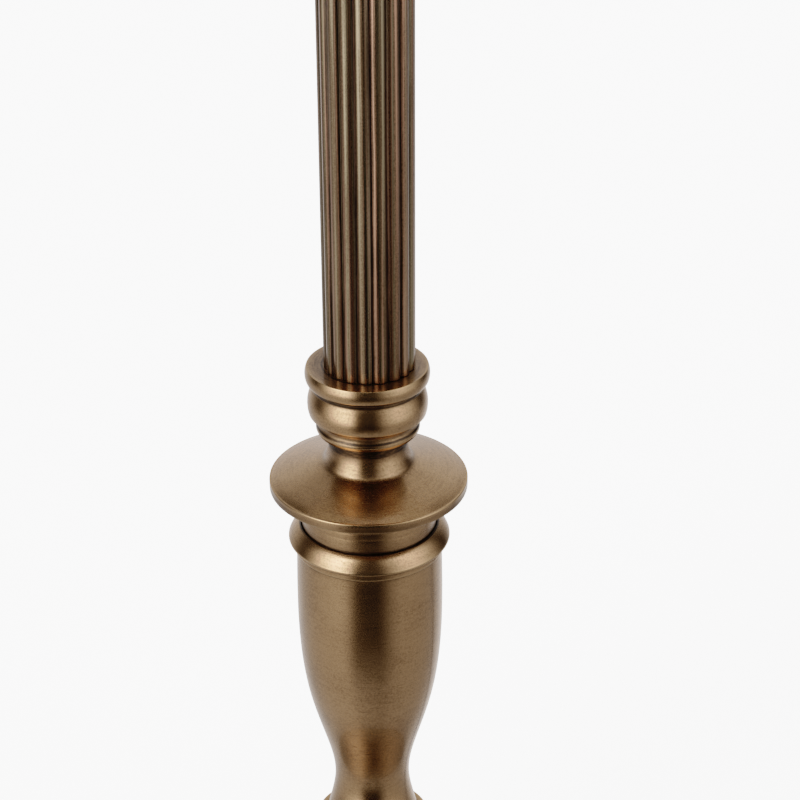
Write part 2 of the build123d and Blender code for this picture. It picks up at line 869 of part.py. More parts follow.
# Bayonet barrel: thin tube on a flange, with a hooked slot on the left and on the right.
# Its bore steps in below the tops of the contacts, where it goes round the block's boss.
hook_height = barrel_height - slot_depth
contact_top = block_boss_height + plunger_show
boss_bore_radius = block_boss_radius + barrel_boss_clearance
with BuildPart() as bayonet_barrel:
    with BuildSketch(turning_plane(z_flange)):
        with BuildLine():
            Polyline(
                (barrel_bore_radius, barrel_height),
                (barrel_radius, barrel_height),
                (barrel_radius, flange_height),
                (flange_radius, flange_height),
                (flange_radius, 0),
                (boss_bore_radius, 0),
                (boss_bore_radius, contact_top),
                (barrel_bore_radius, contact_top),
                close=True,
            )
        make_face()
    revolve(axis=Axis.Z)
    with BuildSketch(Plane.YZ):
        with Locations((0, z_barrel)):
            Rectangle(slot_width, 2 * slot_depth)
        with Locations((0, z_barrel - slot_depth)):
            Circle(slot_width / 2)
    extrude(amount=2 * barrel_radius, both=True, mode=Mode.SUBTRACT)
    for side in (0, 180):
        with BuildSketch(turning_plane(z_flange).rotated((0, side, 0))):
            with Locations((barrel_radius, hook_height)):
                Rectangle(2 * barrel_bore_radius - barrel_radius, slot_width)
        revolve(axis=Axis.Z, revolution_arc=hook_angle, mode=Mode.SUBTRACT)
        with BuildSketch(turning_plane(z_flange).rotated((0, side + hook_angle, 0))):
            with Locations((barrel_radius, hook_height)):
                Rectangle(barrel_bore_radius, slot_width + 2 * hook_rise)
        revolve(axis=Axis.Z, revolution_arc=-hook_end_angle, mode=Mode.SUBTRACT)

# Skirt: collar screwed into the lampholder cap, a ledge that holds the barrel down, a threaded sleeve
skirt_top = z_barrel - skirt_inset - z_holder_rim
flange_top = z_flange + flange_height - z_holder_rim
skirt_spigot_radius = holder_bore_radius - thread_clearance
skirt_ledge_radius = barrel_radius + flange_clearance
with BuildPart() as outer_skirt:
    with BuildSketch(turning_plane(z_holder_rim)):
        with BuildLine():
            Polyline(
                (skirt_bore_radius, skirt_top),
                (skirt_radius, skirt_top),
                (skirt_radius, skirt_collar_height),
                (holder_radius, skirt_collar_height),
                (holder_radius, 0),
                (skirt_spigot_radius, 0),
                (skirt_spigot_radius, -skirt_spigot_height),
                (flange_radius + flange_clearance, -skirt_spigot_height),
                (flange_radius + flange_clearance, flange_top),
                (skirt_ledge_radius, flange_top),
                (skirt_ledge_radius, flange_top + skirt_ledge_height),
                (skirt_bore_radius, flange_top + skirt_ledge_height),
                close=True,
            )
        make_face()
    revolve(axis=Axis.Z)

# Shade ring: flanged ring that screws down the skirt on to the shade's plate
with BuildPart() as shade_ring:
    with BuildSketch(Plane.XY.offset(z_ring)):
        Circle(ring_flange_radius)
    extrude(amount=ring_flange_height)
    with BuildSketch(Plane.XY.offset(z_ring)):
        Circle(ring_radius)
    extrude(amount=ring_height)
    with BuildSketch(Plane.XY.offset(z_ring)):
        Circle(skirt_radius + running_clearance)
    extrude(amount=ring_height, mode=Mode.SUBTRACT)

# Shade plate: flat ring that sits on the skirt's collar under the shade ring
with BuildPart() as shade_plate:
    with BuildSketch(Plane.XY.offset(z_plate)):
        Circle(plate_radius)
        Circle(skirt_radius + plate_clearance, mode=Mode.SUBTRACT)
    extrude(amount=plate_thickness)

# Three wire arms that leave the plate level and fall to the bottom ring
low_ring_radius = wire_ring_radius(z_low_wire)
arm_height = z_plate + plate_thickness / 2
arm_start = Vector(plate_radius + weld_gap, 0, arm_height)
arm_knee = Vector(plate_radius + arm_level, 0, arm_height)
ring_centre = Vector(low_ring_radius, 0, z_low_wire)
arm_end = ring_centre - (ring_centre - arm_knee).normalized() * (wire_radius + weld_gap)
with BuildPart() as single_arm:
    with BuildLine() as arm_line:
        FilletPolyline(arm_start, arm_knee, arm_end, radius=arm_bend)
    with BuildSketch(Plane(origin=arm_line.line @ 0, z_dir=arm_line.line % 0)):
        Circle(wire_radius)
    sweep(path=arm_line.line)

with BuildPart() as shade_arms:
    with PolarLocations(0, arm_count, start_angle=90):
        add(single_arm.part)

# Wire rings, liner, fabric cover and edge tapes of the shade
shade_bottom_ring = wire_ring(z_low_wire)
shade_top_ring = wire_ring(z_high_wire)
liner_face = -cover_thickness - layer_gap
shade_cover = shade_layer(z_shade, z_shade_top, -cover_thickness, 0)
shade_liner = shade_layer(z_shade, z_shade_top, liner_face - liner_thickness, liner_face)
shade_bottom_tape = shade_layer(z_shade, z_shade + tape_height, layer_gap, layer_gap + tape_thickness)
shade_top_tape = shade_layer(z_shade_top - tape_height, z_shade_top, layer_gap, layer_gap + tape_thickness)

# Every piece under its own name
pieces = {
    "felt_pad": felt_pad,
    "base_foot": base_foot,
    "base_weight": base_weight,
    "washer": washer,
    "lock_nut": lock_nut,
    "cord_bush": cord_bush,
    "threaded_tube": threaded_tube,
    "foot_knop": foot_knop,
    "vase": vase,
    "drip_pan": drip_pan,
    "column_seat": column_seat,
    "column": column,
    "column_cap": column_cap,
    "candle_cup": candle_cup,
    "lampholder_cap": lampholder_cap,
    "grub_screw": grub_screw,
    "switch_block": switch_block,
    "terminal_screws": terminal_screws,
    "push_bar": push_bar,
    "contact_plunger_front": contact_plunger_front,
    "contact_plunger_rear": contact_plunger_rear,
    "contact_spring_front": contact_spring_front,
    "contact_spring_rear": contact_spring_rear,
    "bayonet_barrel": bayonet_barrel,
    "outer_skirt": outer_skirt,
    "shade_ring": shade_ring,
    "shade_plate": shade_plate,
    "shade_arms": shade_arms,
    "shade_bottom_ring": shade_bottom_ring,
    "shade_top_ring": shade_top_ring,
    "shade_liner": shade_liner,
    "shade_cover": shade_cover,
    "shade_bottom_tape": shade_bottom_tape,
    "shade_top_tape": shade_top_tape,
}
os.makedirs("parts", exist_ok=True)
for name, piece in pieces.items():
    piece.part.label = name
    export_step(piece.part, f"parts/{name}.step")
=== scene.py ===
import bpy
import numpy as np
from mathutils import Matrix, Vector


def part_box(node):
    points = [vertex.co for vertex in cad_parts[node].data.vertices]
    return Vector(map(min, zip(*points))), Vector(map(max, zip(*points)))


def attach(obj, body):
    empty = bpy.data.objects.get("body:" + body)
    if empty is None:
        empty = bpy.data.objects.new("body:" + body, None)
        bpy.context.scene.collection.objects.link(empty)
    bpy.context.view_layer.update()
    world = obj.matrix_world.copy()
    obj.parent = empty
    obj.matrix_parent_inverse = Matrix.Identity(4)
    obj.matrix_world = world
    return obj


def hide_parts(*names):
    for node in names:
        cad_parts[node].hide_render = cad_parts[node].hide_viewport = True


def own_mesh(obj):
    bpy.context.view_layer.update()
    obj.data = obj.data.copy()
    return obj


# Looks of a candlestick table lamp: turned and toned brass stem, reeded column, bayonet lampholder
# and a tapered linen shade. Outlines are in millimetres, radius first and height second.

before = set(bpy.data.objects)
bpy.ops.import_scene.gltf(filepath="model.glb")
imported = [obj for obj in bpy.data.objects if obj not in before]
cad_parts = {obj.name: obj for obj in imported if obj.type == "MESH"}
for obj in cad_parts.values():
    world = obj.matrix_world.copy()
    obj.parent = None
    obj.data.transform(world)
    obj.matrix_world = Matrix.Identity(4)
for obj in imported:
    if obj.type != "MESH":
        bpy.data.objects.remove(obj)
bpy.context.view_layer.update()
MM = 0.001


def low(node):
    """Height of a node's lowest point, in millimetres."""
    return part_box(node)[0].z / MM


# Camera at the photograph's place, looking down on the middle of the stem
CAMERA_PLACE = (9.96 * MM, -556.98 * MM, 529.08 * MM)
CAMERA_FALL = np.radians(27.7413)
CAMERA_ROLL = np.radians(-0.2398)

eye = bpy.data.cameras.new("eye")
eye.sensor_width = 36.0
eye.lens = 91.94
eye.clip_start = 0.01
eye.clip_end = 50.0
camera = bpy.data.objects.new("eye", eye)
upright = Matrix.Rotation(np.pi / 2 - CAMERA_FALL, 4, "X")
camera.matrix_world = Matrix.Translation(CAMERA_PLACE) @ upright @ Matrix.Rotation(CAMERA_ROLL, 4, "Z")
bpy.context.scene.collection.objects.link(camera)
bpy.context.scene.camera = camera


# Outlines

def straight(*corners):
    """Straight runs from corner to corner."""
    return np.array(corners, float)


def bulge(start, end, swell, steps=40):
    """Circular arc from start to end that stands off its chord by swell, to the left of travel."""
    start = np.array(start, float)
    end = np.array(end, float)
    half = np.linalg.norm(end - start) / 2
    along = (end - start) / (2 * half)
    left = np.array((-along[1], along[0]))
    turn = 2 * np.arctan2(abs(swell), half)
    angle = np.linspace(-turn, turn, steps)[:, None]
    radius = half / np.sin(turn)
    rise = np.sign(swell) * radius * (np.cos(angle) - np.cos(turn))
    return (start + end) / 2 + radius * np.sin(angle) * along + rise * left


def bezier(a, b, c, d, steps=64):
    """Cubic curve from a to d that leaves towards b and arrives from c."""
    t = np.linspace(0, 1, steps)[:, None]
    a, b, c, d = (np.array(p, float) for p in (a, b, c, d))
    return (1 - t) ** 3 * a + 3 * (1 - t) ** 2 * t * b + 3 * (1 - t) * t ** 2 * c + t ** 3 * d


def smooth_line(*points, steps=240):
    """Natural cubic spline through the points, with the length of the chords as its parameter."""
    p = np.array(points, float)
    h = np.linalg.norm(np.diff(p, axis=0), axis=1)
    i = np.arange(1, len(p) - 1)
    system = np.eye(len(p))
    system[i, i - 1] = h[:-1]
    system[i, i] = 2 * (h[:-1] + h[1:])
    system[i, i + 1] = h[1:]
    bend = np.zeros_like(p)
    bend[1:-1] = 6 * np.diff(np.diff(p, axis=0) / h[:, None], axis=0)
    bend = np.linalg.solve(system, bend)
    knots = np.concatenate([[0], h.cumsum()])
    t = np.linspace(0, knots[-1], steps)
    k = np.clip(np.searchsorted(knots, t, side="right") - 1, 0, len(h) - 1)
    a = ((knots[k + 1] - t) / h[k])[:, None]
    b = 1 - a
    sag = ((a ** 3 - a) * bend[k] + (b ** 3 - b) * bend[k + 1]) * (h[k] ** 2)[:, None] / 6
    return a * p[k] + b * p[k + 1] + sag


def scored(radius, height):
    """Fine ring scored into a wall."""
    return straight((radius, height + 0.15), (radius - 0.1, height), (radius, height - 0.15))


def outline(height, *runs):
    """One closed outline from runs that follow one another, lifted to a height."""
    return np.concatenate(runs) + (0, height)


def even(loop, step):
    """Closed loop walked in even steps: the points and the length of one step."""
    ring = np.concatenate([loop, loop[:1]])
    run = np.linalg.norm(np.diff(ring, axis=0), axis=1)
    keep = np.concatenate([run > 1e-9, [True]])
    ring = ring[keep]
    s = np.concatenate([[0], np.linalg.norm(np.diff(ring, axis=0), axis=1).cumsum()])
    count = int(np.ceil(s[-1] / step))
    t = np.arange(count) * s[-1] / count
    return np.stack([np.interp(t, s, ring[:, 0]), np.interp(t, s, ring[:, 1])], axis=1), s[-1] / count


def blurred(loop, step, width):
    """Closed loop averaged along itself by a bell curve of that width, through its Fourier terms."""
    wave = np.fft.fftfreq(len(loop), step)
    bell = np.exp(-2 * (np.pi * width * wave) ** 2)
    return np.fft.ifft(np.fft.fft(loop, axis=0) * bell[:, None], axis=0).real


# Toning of turned pieces: the blur that finds hollows and edges, how deep or high they are when fully
# toned or rubbed, how far a face looks down before painted shade starts on it and until it is full
TONING_BLUR = 0.8
HOLLOW_DEPTH = 0.3
EDGE_HEIGHT = 0.22
SHADE_UNDER_START = 0.32
SHADE_UNDER_SPAN = 0.38

# One more row for each of these bends of the outline and changes of its toning and painted shade
ROW_BEND = np.radians(7)
ROW_CHANGE = 0.12


def worn_rows(loop, wear, longest, seams, under):
    """Rows of a turned piece: its outline with corners worn round, spaced by length and by bend.

    Gives each row's radius and height, its length along the outline, and how far it lies in a hollow
    or on an edge, from the distance between the outline and a wide blur of it; hollows are darkened as
    patina. A seam is a radius, a height, a reach and a strength: the piece is also darkened near it, at
    joints and grooves as patina and on some faces as painted shade. under is how strongly faces that
    look down are darkened, as painted shade.
    """
    fine, step = even(loop, wear / 2)
    fine = blurred(fine, step, wear)
    ahead = np.roll(fine, -1, axis=0) - np.roll(fine, 1, axis=0)
    ahead /= np.linalg.norm(ahead, axis=1)[:, None]
    outward = np.stack([-ahead[:, 1], ahead[:, 0]], axis=1)
    stand = ((blurred(fine, step, TONING_BLUR) - fine) * outward).sum(axis=1)
    toning_and_painted_shade = np.clip(stand / HOLLOW_DEPTH, 0, 1)
    edge = np.clip(-stand / EDGE_HEIGHT, 0, 1)
    for radius, height, reach, strength in seams:
        near = np.exp(-((fine - (radius, height)) ** 2).sum(axis=1) / reach ** 2)
        toning_and_painted_shade = np.maximum(toning_and_painted_shade, near * strength)
    # Faces that look down are darkened by under, as painted shade.
    toning_and_painted_shade = np.maximum(toning_and_painted_shade, under * np.clip((-outward[:, 1] - SHADE_UNDER_START) / SHADE_UNDER_SPAN, 0, 1))
    toning_and_painted_shade = np.clip(toning_and_painted_shade, 0, 1)
    turn = np.abs((np.roll(ahead, -1, axis=0) * outward).sum(axis=1))
    change = np.abs(np.roll(toning_and_painted_shade, -1) - toning_and_painted_shade)
    cost = np.concatenate([[0], (step / longest + turn / ROW_BEND + change / ROW_CHANGE).cumsum()])
    count = int(np.ceil(cost[-1]))
    spot = np.interp(np.arange(count) * cost[-1] / count, cost, np.arange(len(cost)))
    wrap = np.arange(len(fine) + 1)

    def pick(values):
        return np.interp(spot, wrap, np.concatenate([values, values[:1]]))

    return pick(fine[:, 0]), pick(fine[:, 1]), spot * step, pick(toning_and_painted_shade), pick(edge)


# Meshes

def mesh_piece(name, points, faces, cut):
    """Smooth piece from points in millimetres and arrays of faces, with cut as each corner's UV."""
    corners = np.concatenate([f.ravel() for f in faces])
    sides = np.concatenate([np.full(len(f), f.shape[1]) for f in faces])
    mesh = bpy.data.meshes.new(name)
    mesh.vertices.add(points.size // 3)
    mesh.vertices.foreach_set("co", (points * MM).ravel())
    mesh.loops.add(len(corners))
    mesh.loops.foreach_set("vertex_index", corners)
    mesh.polygons.add(len(sides))
    mesh.polygons.foreach_set("loop_start", np.concatenate([[0], sides.cumsum()[:-1]]))
    mesh.update(calc_edges=True)
    mesh.polygons.foreach_set("use_smooth", np.ones(len(sides), bool))
    mesh.uv_layers.new(name="cut").data.foreach_set("uv", cut.ravel())
    mesh.validate()
    piece = bpy.data.objects.new(name, mesh)
    bpy.context.scene.collection.objects.link(piece)
    return piece


def grid_quads(index):
    """Quads between four neighbours of an open grid of point numbers."""
    return np.stack([index[:-1, :-1], index[1:, :-1], index[1:, 1:], index[:-1, 1:]], axis=-1).reshape(-1, 4)


def ring_faces(rows, columns):
    """Quads of a grid that closes both ways, one between four neighbours."""
    index = np.arange(rows * columns).reshape(rows, columns)
    return grid_quads(np.pad(index, ((0, 1), (0, 1)), mode="wrap"))


def grid_piece(name, points, turning, toning_and_painted_shade, edge, cut):
    """Piece from a grid of points that closes both ways.

    turning keeps the direction round the axis and the length along the outline, for patterns that
    follow the turning; the other two marks keep where the piece is darkened, as patina and as painted
    shade, and where it is lighter, where rubbed off and, on the reeds, as painted highlight.
    """
    piece = mesh_piece(name, points, [ring_faces(*points.shape[:2])], cut)
    marks = piece.data.attributes
    marks.new("turning", "FLOAT_VECTOR", "POINT").data.foreach_set("vector", turning.ravel())
    marks.new("toning_and_painted_shade", "FLOAT", "POINT").data.foreach_set("value", toning_and_painted_shade.ravel())
    marks.new("edge", "FLOAT", "POINT").data.foreach_set("value", edge.ravel())
    return piece


def corner_places(across, along):
    """UV of every quad's four corners from the places of the grid's lines, one line more each way."""
    place = np.stack(np.broadcast_arrays(across, along), axis=-1)
    return np.stack([place[:-1, :-1], place[1:, :-1], place[1:, 1:], place[:-1, 1:]], axis=2)


def turned(name, loop, around=256, wear=0.12, longest=1.4, seams=(), under=0.0, relief=None):
    """Turned piece: each row's radius and height carried once round, x = r cos a and y = r sin a.

    relief gives what is added to the radius at an angle, a radius and a height.
    """
    radius, height, along, toning_and_painted_shade, edge = worn_rows(loop, wear, longest, seams, under)
    angle = np.arange(around) * 2 * np.pi / around
    r, a = np.meshgrid(radius, angle, indexing="ij")
    z = np.broadcast_to(height[:, None], r.shape)
    if relief:
        r = r + relief(a, r, z)
    points = np.stack([r * np.cos(a), r * np.sin(a), z], axis=-1)
    s = np.broadcast_to(along[:, None], r.shape)
    turning = np.stack([np.cos(a), np.sin(a), s], axis=-1)
    wide = np.arange(around + 1)[None, :] / around
    deep = np.concatenate([along, [2 * along[-1] - along[-2]]])[:, None] * MM
    columns = np.ones(around)
    return grid_piece(
        name, points, turning, np.outer(toning_and_painted_shade, columns), np.outer(edge, columns), corner_places(wide, deep))


# Stem, from the knop up. Each outline goes down the outside and back up the bore.

TUBE_HOLE = 5.2
COLUMN_SPIGOT = 11.4
COLUMN_SPIGOT_HEIGHT = 8.0

KNOP_RIM = 19.3
KNOP_GROOVE = 16.6
KNOP_BASE = 17.6
KNOP_TOP = 12.5

VASE_FOOT = 16.6
VASE_BORE = 19.4
VASE_MOUTH = 21.7
VASE_MOUTH_FLOOR = 114.1
VASE_NECK = 23.15
VASE_LIP_RING = 24.05
VASE_LIP = 25.65
VASE_TOP = 119.1

PAN_NECK = 12.3
PAN_TOP = 18.4
PAN_RIM = 31.15
PAN_RIM_HEIGHT = 3.0
PAN_SPIGOT = 21.4
PAN_SPIGOT_BORE = 18.0
PAN_SPIGOT_HEIGHT = 18.2

SEAT_RIM = 18.75
SEAT_TOP = 23.35
SEAT_GROOVE = 17.2
SEAT_COVE = 16.8
SEAT_RING = 16.0
SEAT_RING_EDGE = 15.2
SEAT_FOOT = 13.2

CAP_RIM = 18.75
CAP_NECK = 12.5
CAP_BEAD = 16.2
CAP_TOP = 20.0

CUP_RIM = 21.0
CUP_BORE = 19.4
CUP_FOOT = 10.5
CUP_FLOOR = 3.0
CUP_TOP = 13.0

z_knop = low("foot_knop")
foot_knop = turned("foot_knop_turned", outline(
    z_knop,
    straight((TUBE_HOLE, KNOP_TOP), (KNOP_RIM, KNOP_TOP)),
    bulge((KNOP_RIM, KNOP_TOP), (KNOP_RIM, 8.3), 0.45),
    bulge((KNOP_GROOVE, 6.7), (KNOP_GROOVE, 1.3), 1.9),
    straight((KNOP_BASE, 1.3), (KNOP_BASE, 0), (TUBE_HOLE, 0)),
), seams=[(VASE_FOOT, z_knop + KNOP_TOP, 0.8, 0.9), (KNOP_BASE, z_knop, 1.0, 0.9)])

z_vase = low("vase")
vase = turned("vase_turned", outline(
    z_vase,
    bulge((VASE_MOUTH, VASE_TOP), (VASE_LIP, 114.4), 0.5),
    straight((VASE_LIP, 114.4), (VASE_LIP, 113.8)),
    straight((VASE_LIP_RING, 112.8), (VASE_LIP_RING, 110.9), (VASE_NECK, 110.4)),
    smooth_line(
        (VASE_NECK, 110.4), (23.45, 88.8), (20.12, 53.3), (15.98, 38.3), (12.5, 19.3), (13.85, 10.3),
        (VASE_FOOT, 0)),
    straight((VASE_FOOT, 0), (TUBE_HOLE, 0), (TUBE_HOLE, 32.8), (8.5, 32.8), (VASE_BORE, 64.8)),
    straight((VASE_BORE, VASE_MOUTH_FLOOR), (VASE_MOUTH, VASE_MOUTH_FLOOR), (VASE_MOUTH, VASE_TOP)),
), longest=2.0, seams=[(VASE_FOOT, z_vase, 0.8, 0.9), (VASE_MOUTH, z_vase + 118.9, 0.55, 1.7)])

z_pan = low("drip_pan") + PAN_SPIGOT_HEIGHT
drip_pan = turned("drip_pan_turned", outline(
    z_pan,
    straight((TUBE_HOLE, PAN_TOP), (PAN_NECK, PAN_TOP), (PAN_NECK, 15.6)),
    bezier((PAN_NECK, 15.6), (12.5, 13.4), (12.7, 11.2), (13.7, 9.7)),
    bezier((13.7, 9.7), (14.1, 9.1), (14.6, 8.8), (15.4, 8.5)),
    bezier((15.4, 8.5), (19.0, 7.15), (23.0, 5.9), (26.5, 4.7)),
    bezier((26.5, 4.7), (28.0, 4.19), (29.3, 3.7), (30.65, PAN_RIM_HEIGHT)),
    straight((PAN_RIM, PAN_RIM_HEIGHT), (PAN_RIM, 0), (PAN_SPIGOT, 0)),
    scored(PAN_SPIGOT, -6.25),
    scored(PAN_SPIGOT, -8.55),
    straight((PAN_SPIGOT, -PAN_SPIGOT_HEIGHT), (PAN_SPIGOT_BORE, -PAN_SPIGOT_HEIGHT)),
    straight((PAN_SPIGOT_BORE, 0), (TUBE_HOLE, 0)),
# The seams darken the spigot at the vase's lip as patina at the joint, the spigot under the pan's rim and the
# neck under the seat as painted shade, and the rim's upright side; under darkens the faces that look down, as
# painted shade.
), wear=0.2, under=0.5, seams=[
    (PAN_SPIGOT, z_pan - 13.3, 0.65, 2.2),
    (PAN_SPIGOT, z_pan - 12.5, 2.4, 0.4),
    (PAN_SPIGOT, z_pan, 1.4, 0.75),
    (PAN_RIM, z_pan + 0.9, 1.3, 0.6),
    (PAN_NECK, z_pan + 17.4, 2.6, 1.6),
])

z_seat = low("column_seat")
SEAT_SPIGOT_TOP = SEAT_TOP + COLUMN_SPIGOT_HEIGHT
column_seat = turned("column_seat_turned", outline(
    z_seat,
    straight((TUBE_HOLE, SEAT_SPIGOT_TOP), (COLUMN_SPIGOT, SEAT_SPIGOT_TOP)),
    straight((COLUMN_SPIGOT, SEAT_TOP), (SEAT_RIM, SEAT_TOP)),
    bulge((SEAT_RIM, SEAT_TOP), (18.9, 18.85), 0.45),
    straight((SEAT_GROOVE, 17.6), (SEAT_GROOVE, 16.35)),
    bulge((SEAT_GROOVE, 16.35), (18.2, 7.6), 0.9),
    bulge((SEAT_COVE, 7.0), (SEAT_RING, 3.65), -0.7),
    bulge((SEAT_RING, 3.65), (SEAT_RING_EDGE, 0.9), 0.5),
    straight((SEAT_FOOT, 0.5), (SEAT_FOOT, 0), (TUBE_HOLE, 0)),
# The seams darken the joints and grooves as patina and the top face round the column as painted shade; under
# darkens the faces that look down, as painted shade.
), wear=0.14, under=0.95, seams=[
    (13.9, z_seat + SEAT_TOP, 0.6, 1.4),
    (15.2, z_seat + SEAT_TOP, 3.3, 0.7),
    (SEAT_GROOVE, z_seat + 17.0, 0.6, 1.3),
    (SEAT_COVE, z_seat + 7.0, 0.7, 0.6),
    (SEAT_RING, z_seat + 3.75, 0.6, 1.1),
    (13.0, z_seat, 1.6, 1.2),
])

z_cap = low("column_cap") + COLUMN_SPIGOT_HEIGHT
column_cap = turned("column_cap_turned", outline(
    z_cap,
    straight((TUBE_HOLE, CAP_TOP), (CAP_NECK, CAP_TOP), (CAP_NECK, 18.9)),
    bulge((CAP_NECK, 18.9), (CAP_BEAD, 13.9), -1.0),
    bulge((CAP_BEAD, 13.9), (17.2, 5.9), 1.1),
    bulge((CAP_RIM, 4.5), (CAP_RIM, 0), 0.45),
    straight((COLUMN_SPIGOT, 0), (COLUMN_SPIGOT, -COLUMN_SPIGOT_HEIGHT), (TUBE_HOLE, -COLUMN_SPIGOT_HEIGHT)),
), around=192, seams=[(14.0, z_cap, 1.2, 0.9), (CUP_FOOT, z_cap + CAP_TOP, 1.2, 0.9)])

z_cup = low("candle_cup")
candle_cup = turned("candle_cup_turned", outline(
    z_cup,
    straight((CUP_BORE, CUP_TOP), (CUP_RIM, CUP_TOP)),
    bulge((CUP_RIM, CUP_TOP), (CUP_FOOT, 0), 3.0),
    straight((TUBE_HOLE, 0), (TUBE_HOLE, CUP_FLOOR)),
    bulge((9.6, CUP_FLOOR), (CUP_BORE, CUP_TOP), -1.4),
), around=192, seams=[(CUP_FOOT, z_cup, 1.2, 0.9), (8.0, z_cup + CUP_FLOOR, 1.8, 0.7)])

# Reeded column. Its bore clears the spigots by more than the slack that it sits off the axis.

REEDS = 18
REED_STEPS = 30
REED_CREST = 14.1
REED_GROOVE = 13.05
REED_PHASE = np.radians(-103.8)
COLUMN_BORE = 12.25
COLUMN_SLACK = 0.7
END_ROWS = np.array([0.0, 0.04, 0.1, 0.18, 0.3])
MIDDLE_ROWS = 60
END_WEAR = 0.22
END_WEAR_REACH = 0.12
SWING = 0.012
SWING_LENGTH = 31.0


def reeded_column(name, node):
    """Column whose outside is a ring of round reeds.

    Across one reed the radius is that of a circle through both grooves and the crest: with its centre
    c from the axis and its own radius q, r = c cos b + sqrt(q^2 - c^2 sin^2 b) at an angle b from the
    crest. Each reed stands a little higher or lower and leans a little, as drawn work does. The column
    sits off the axis by the slack of the spigots inside it, as it does in the photograph.
    """
    bottom = low(node)
    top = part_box(node)[1].z / MM
    half = np.pi / REEDS
    centre = (REED_CREST ** 2 - REED_GROOVE ** 2) / (2 * (REED_CREST - REED_GROOVE * np.cos(half)))
    own = REED_CREST - centre
    share = np.arange(REEDS * REED_STEPS) / REED_STEPS
    reed = np.floor(share).astype(int)
    b = (share - reed - 0.5) * 2 * half
    flank = b / half
    r = centre * np.cos(b) + np.sqrt(own ** 2 - (centre * np.sin(b)) ** 2)
    chance = np.random.default_rng(11)
    lift = chance.uniform(-0.07, 0.0, REEDS)[reed]
    lean = chance.uniform(-0.10, 0.10, REEDS)[reed]
    # Share of painted shade on each reed's right flank, different from reed to reed.
    flank_shade_share = chance.uniform(0.3, 0.65, REEDS)[reed]
    crown = np.cos(flank * np.pi / 2)
    outside = r + lift * crown + lean * np.sin(flank * np.pi) * crown
    middle_rows = np.linspace(bottom + 1.0, top - 1.0, MIDDLE_ROWS)
    heights = np.concatenate([bottom + END_ROWS, [bottom + 0.5], middle_rows, top - END_ROWS[::-1]])[::-1]
    ends = np.minimum(heights - bottom, top - heights)
    worn = END_WEAR * np.exp(-ends / END_WEAR_REACH)
    angle = REED_PHASE + share * 2 * half
    swing = np.sin(heights[:, None] / SWING_LENGTH + 3.0 * np.sin(reed * 2.4)[None, :])
    shell = outside[None, :] - worn[:, None] + SWING * swing * crown[None, :]
    radius = np.concatenate([shell, np.full_like(shell, COLUMN_BORE)])
    z = np.concatenate([heights, heights[::-1]])[:, None] + 0 * radius
    a = angle[None, :] + 0 * radius
    turning = np.stack([radius * np.cos(a), radius * np.sin(a), z], axis=-1)
    points = turning + (COLUMN_SLACK, 0, 0)
    # Darker near the grooves as patina, and on each reed's right flank as painted shade; darker at both ends,
    # where the column meets the seat and the cap.
    groove_patina_and_flank_shade = np.clip((np.abs(flank) - 0.66) / 0.3, 0, 1) + flank_shade_share * np.clip((flank - 0.1) / 0.6, 0, 1)
    foot = 0.8 * np.exp(-((z - bottom) / 0.35) ** 2) + 0.8 * np.exp(-((z - top) / 0.5) ** 2)
    toning_and_painted_shade = np.clip(np.maximum(groove_patina_and_flank_shade[None, :], foot), 0, 1)
    # Lighter band just left of each crest: rubbed crests and painted highlight.
    edge = np.clip(1 - np.abs(flank + 0.25) / 0.45, 0, 1)[None, :] + 0 * radius
    wide = np.linspace(0, 1, len(share) + 1)[None, :]
    deep = np.concatenate([z[:, 0], z[:1, 0]])[:, None] * MM
    return grid_piece(name, points, turning, toning_and_painted_shade, edge, corner_places(wide, deep))


column = reeded_column("column_reeded", "column")

# Lampholder: skirt with a knurled collar and a threaded sleeve, and the ring that screws on it

KNURLS = 60
SKIRT_SPIGOT = 16.15
SKIRT_SPIGOT_HEIGHT = 3.6
SKIRT_SPIGOT_BORE = 14.5
LEDGE = 12.2
LEDGE_FLOOR = -2.0
LEDGE_TOP = -0.5
SKIRT_BORE = 13.5
COLLAR = 17.5
COLLAR_HEIGHT = 5.0
SLEEVE = 14.3
SLEEVE_TOP = 28.0
SLEEVE_PITCH = 2.0
RING_BORE = 14.35
RING = 17.5
RING_TOP = 6.5
FLANGE = 20.5
FLANGE_TOP = 2.0

z_rim = low("outer_skirt") + SKIRT_SPIGOT_HEIGHT
z_ring = low("shade_ring")


def between(value, start, end, soft):
    """1 from start to end, fading to 0 over a soft width outside them."""
    return np.clip((value - start) / soft + 1, 0, 1) * np.clip((end - value) / soft + 1, 0, 1)


def skirt_relief(a, r, z):
    """Knurls cut across the collar, and a screw thread cut into the sleeve: one turn lifts it a pitch."""
    collar = between(z, z_rim + 1.0, z_rim + 4.0, 0.5) * between(r, COLLAR - 0.3, COLLAR + 0.5, 0.3)
    sleeve = between(z, z_rim + 6.5, z_rim + 26.5, 0.8) * between(r, SLEEVE - 0.15, SLEEVE + 0.3, 0.1)
    turns = z / SLEEVE_PITCH - a / (2 * np.pi)
    return -0.15 * collar * (1 + np.cos(KNURLS * a)) - 0.17 * sleeve * (1 + np.cos(2 * np.pi * turns))


def ring_relief(a, r, z):
    """Finger grips cut into the flange's rim."""
    rim = between(z, z_ring + 0.5, z_ring + 1.5, 0.3) * between(r, FLANGE - 0.3, FLANGE + 0.5, 0.3)
    return -0.2 * rim * (1 + np.cos(KNURLS * a))


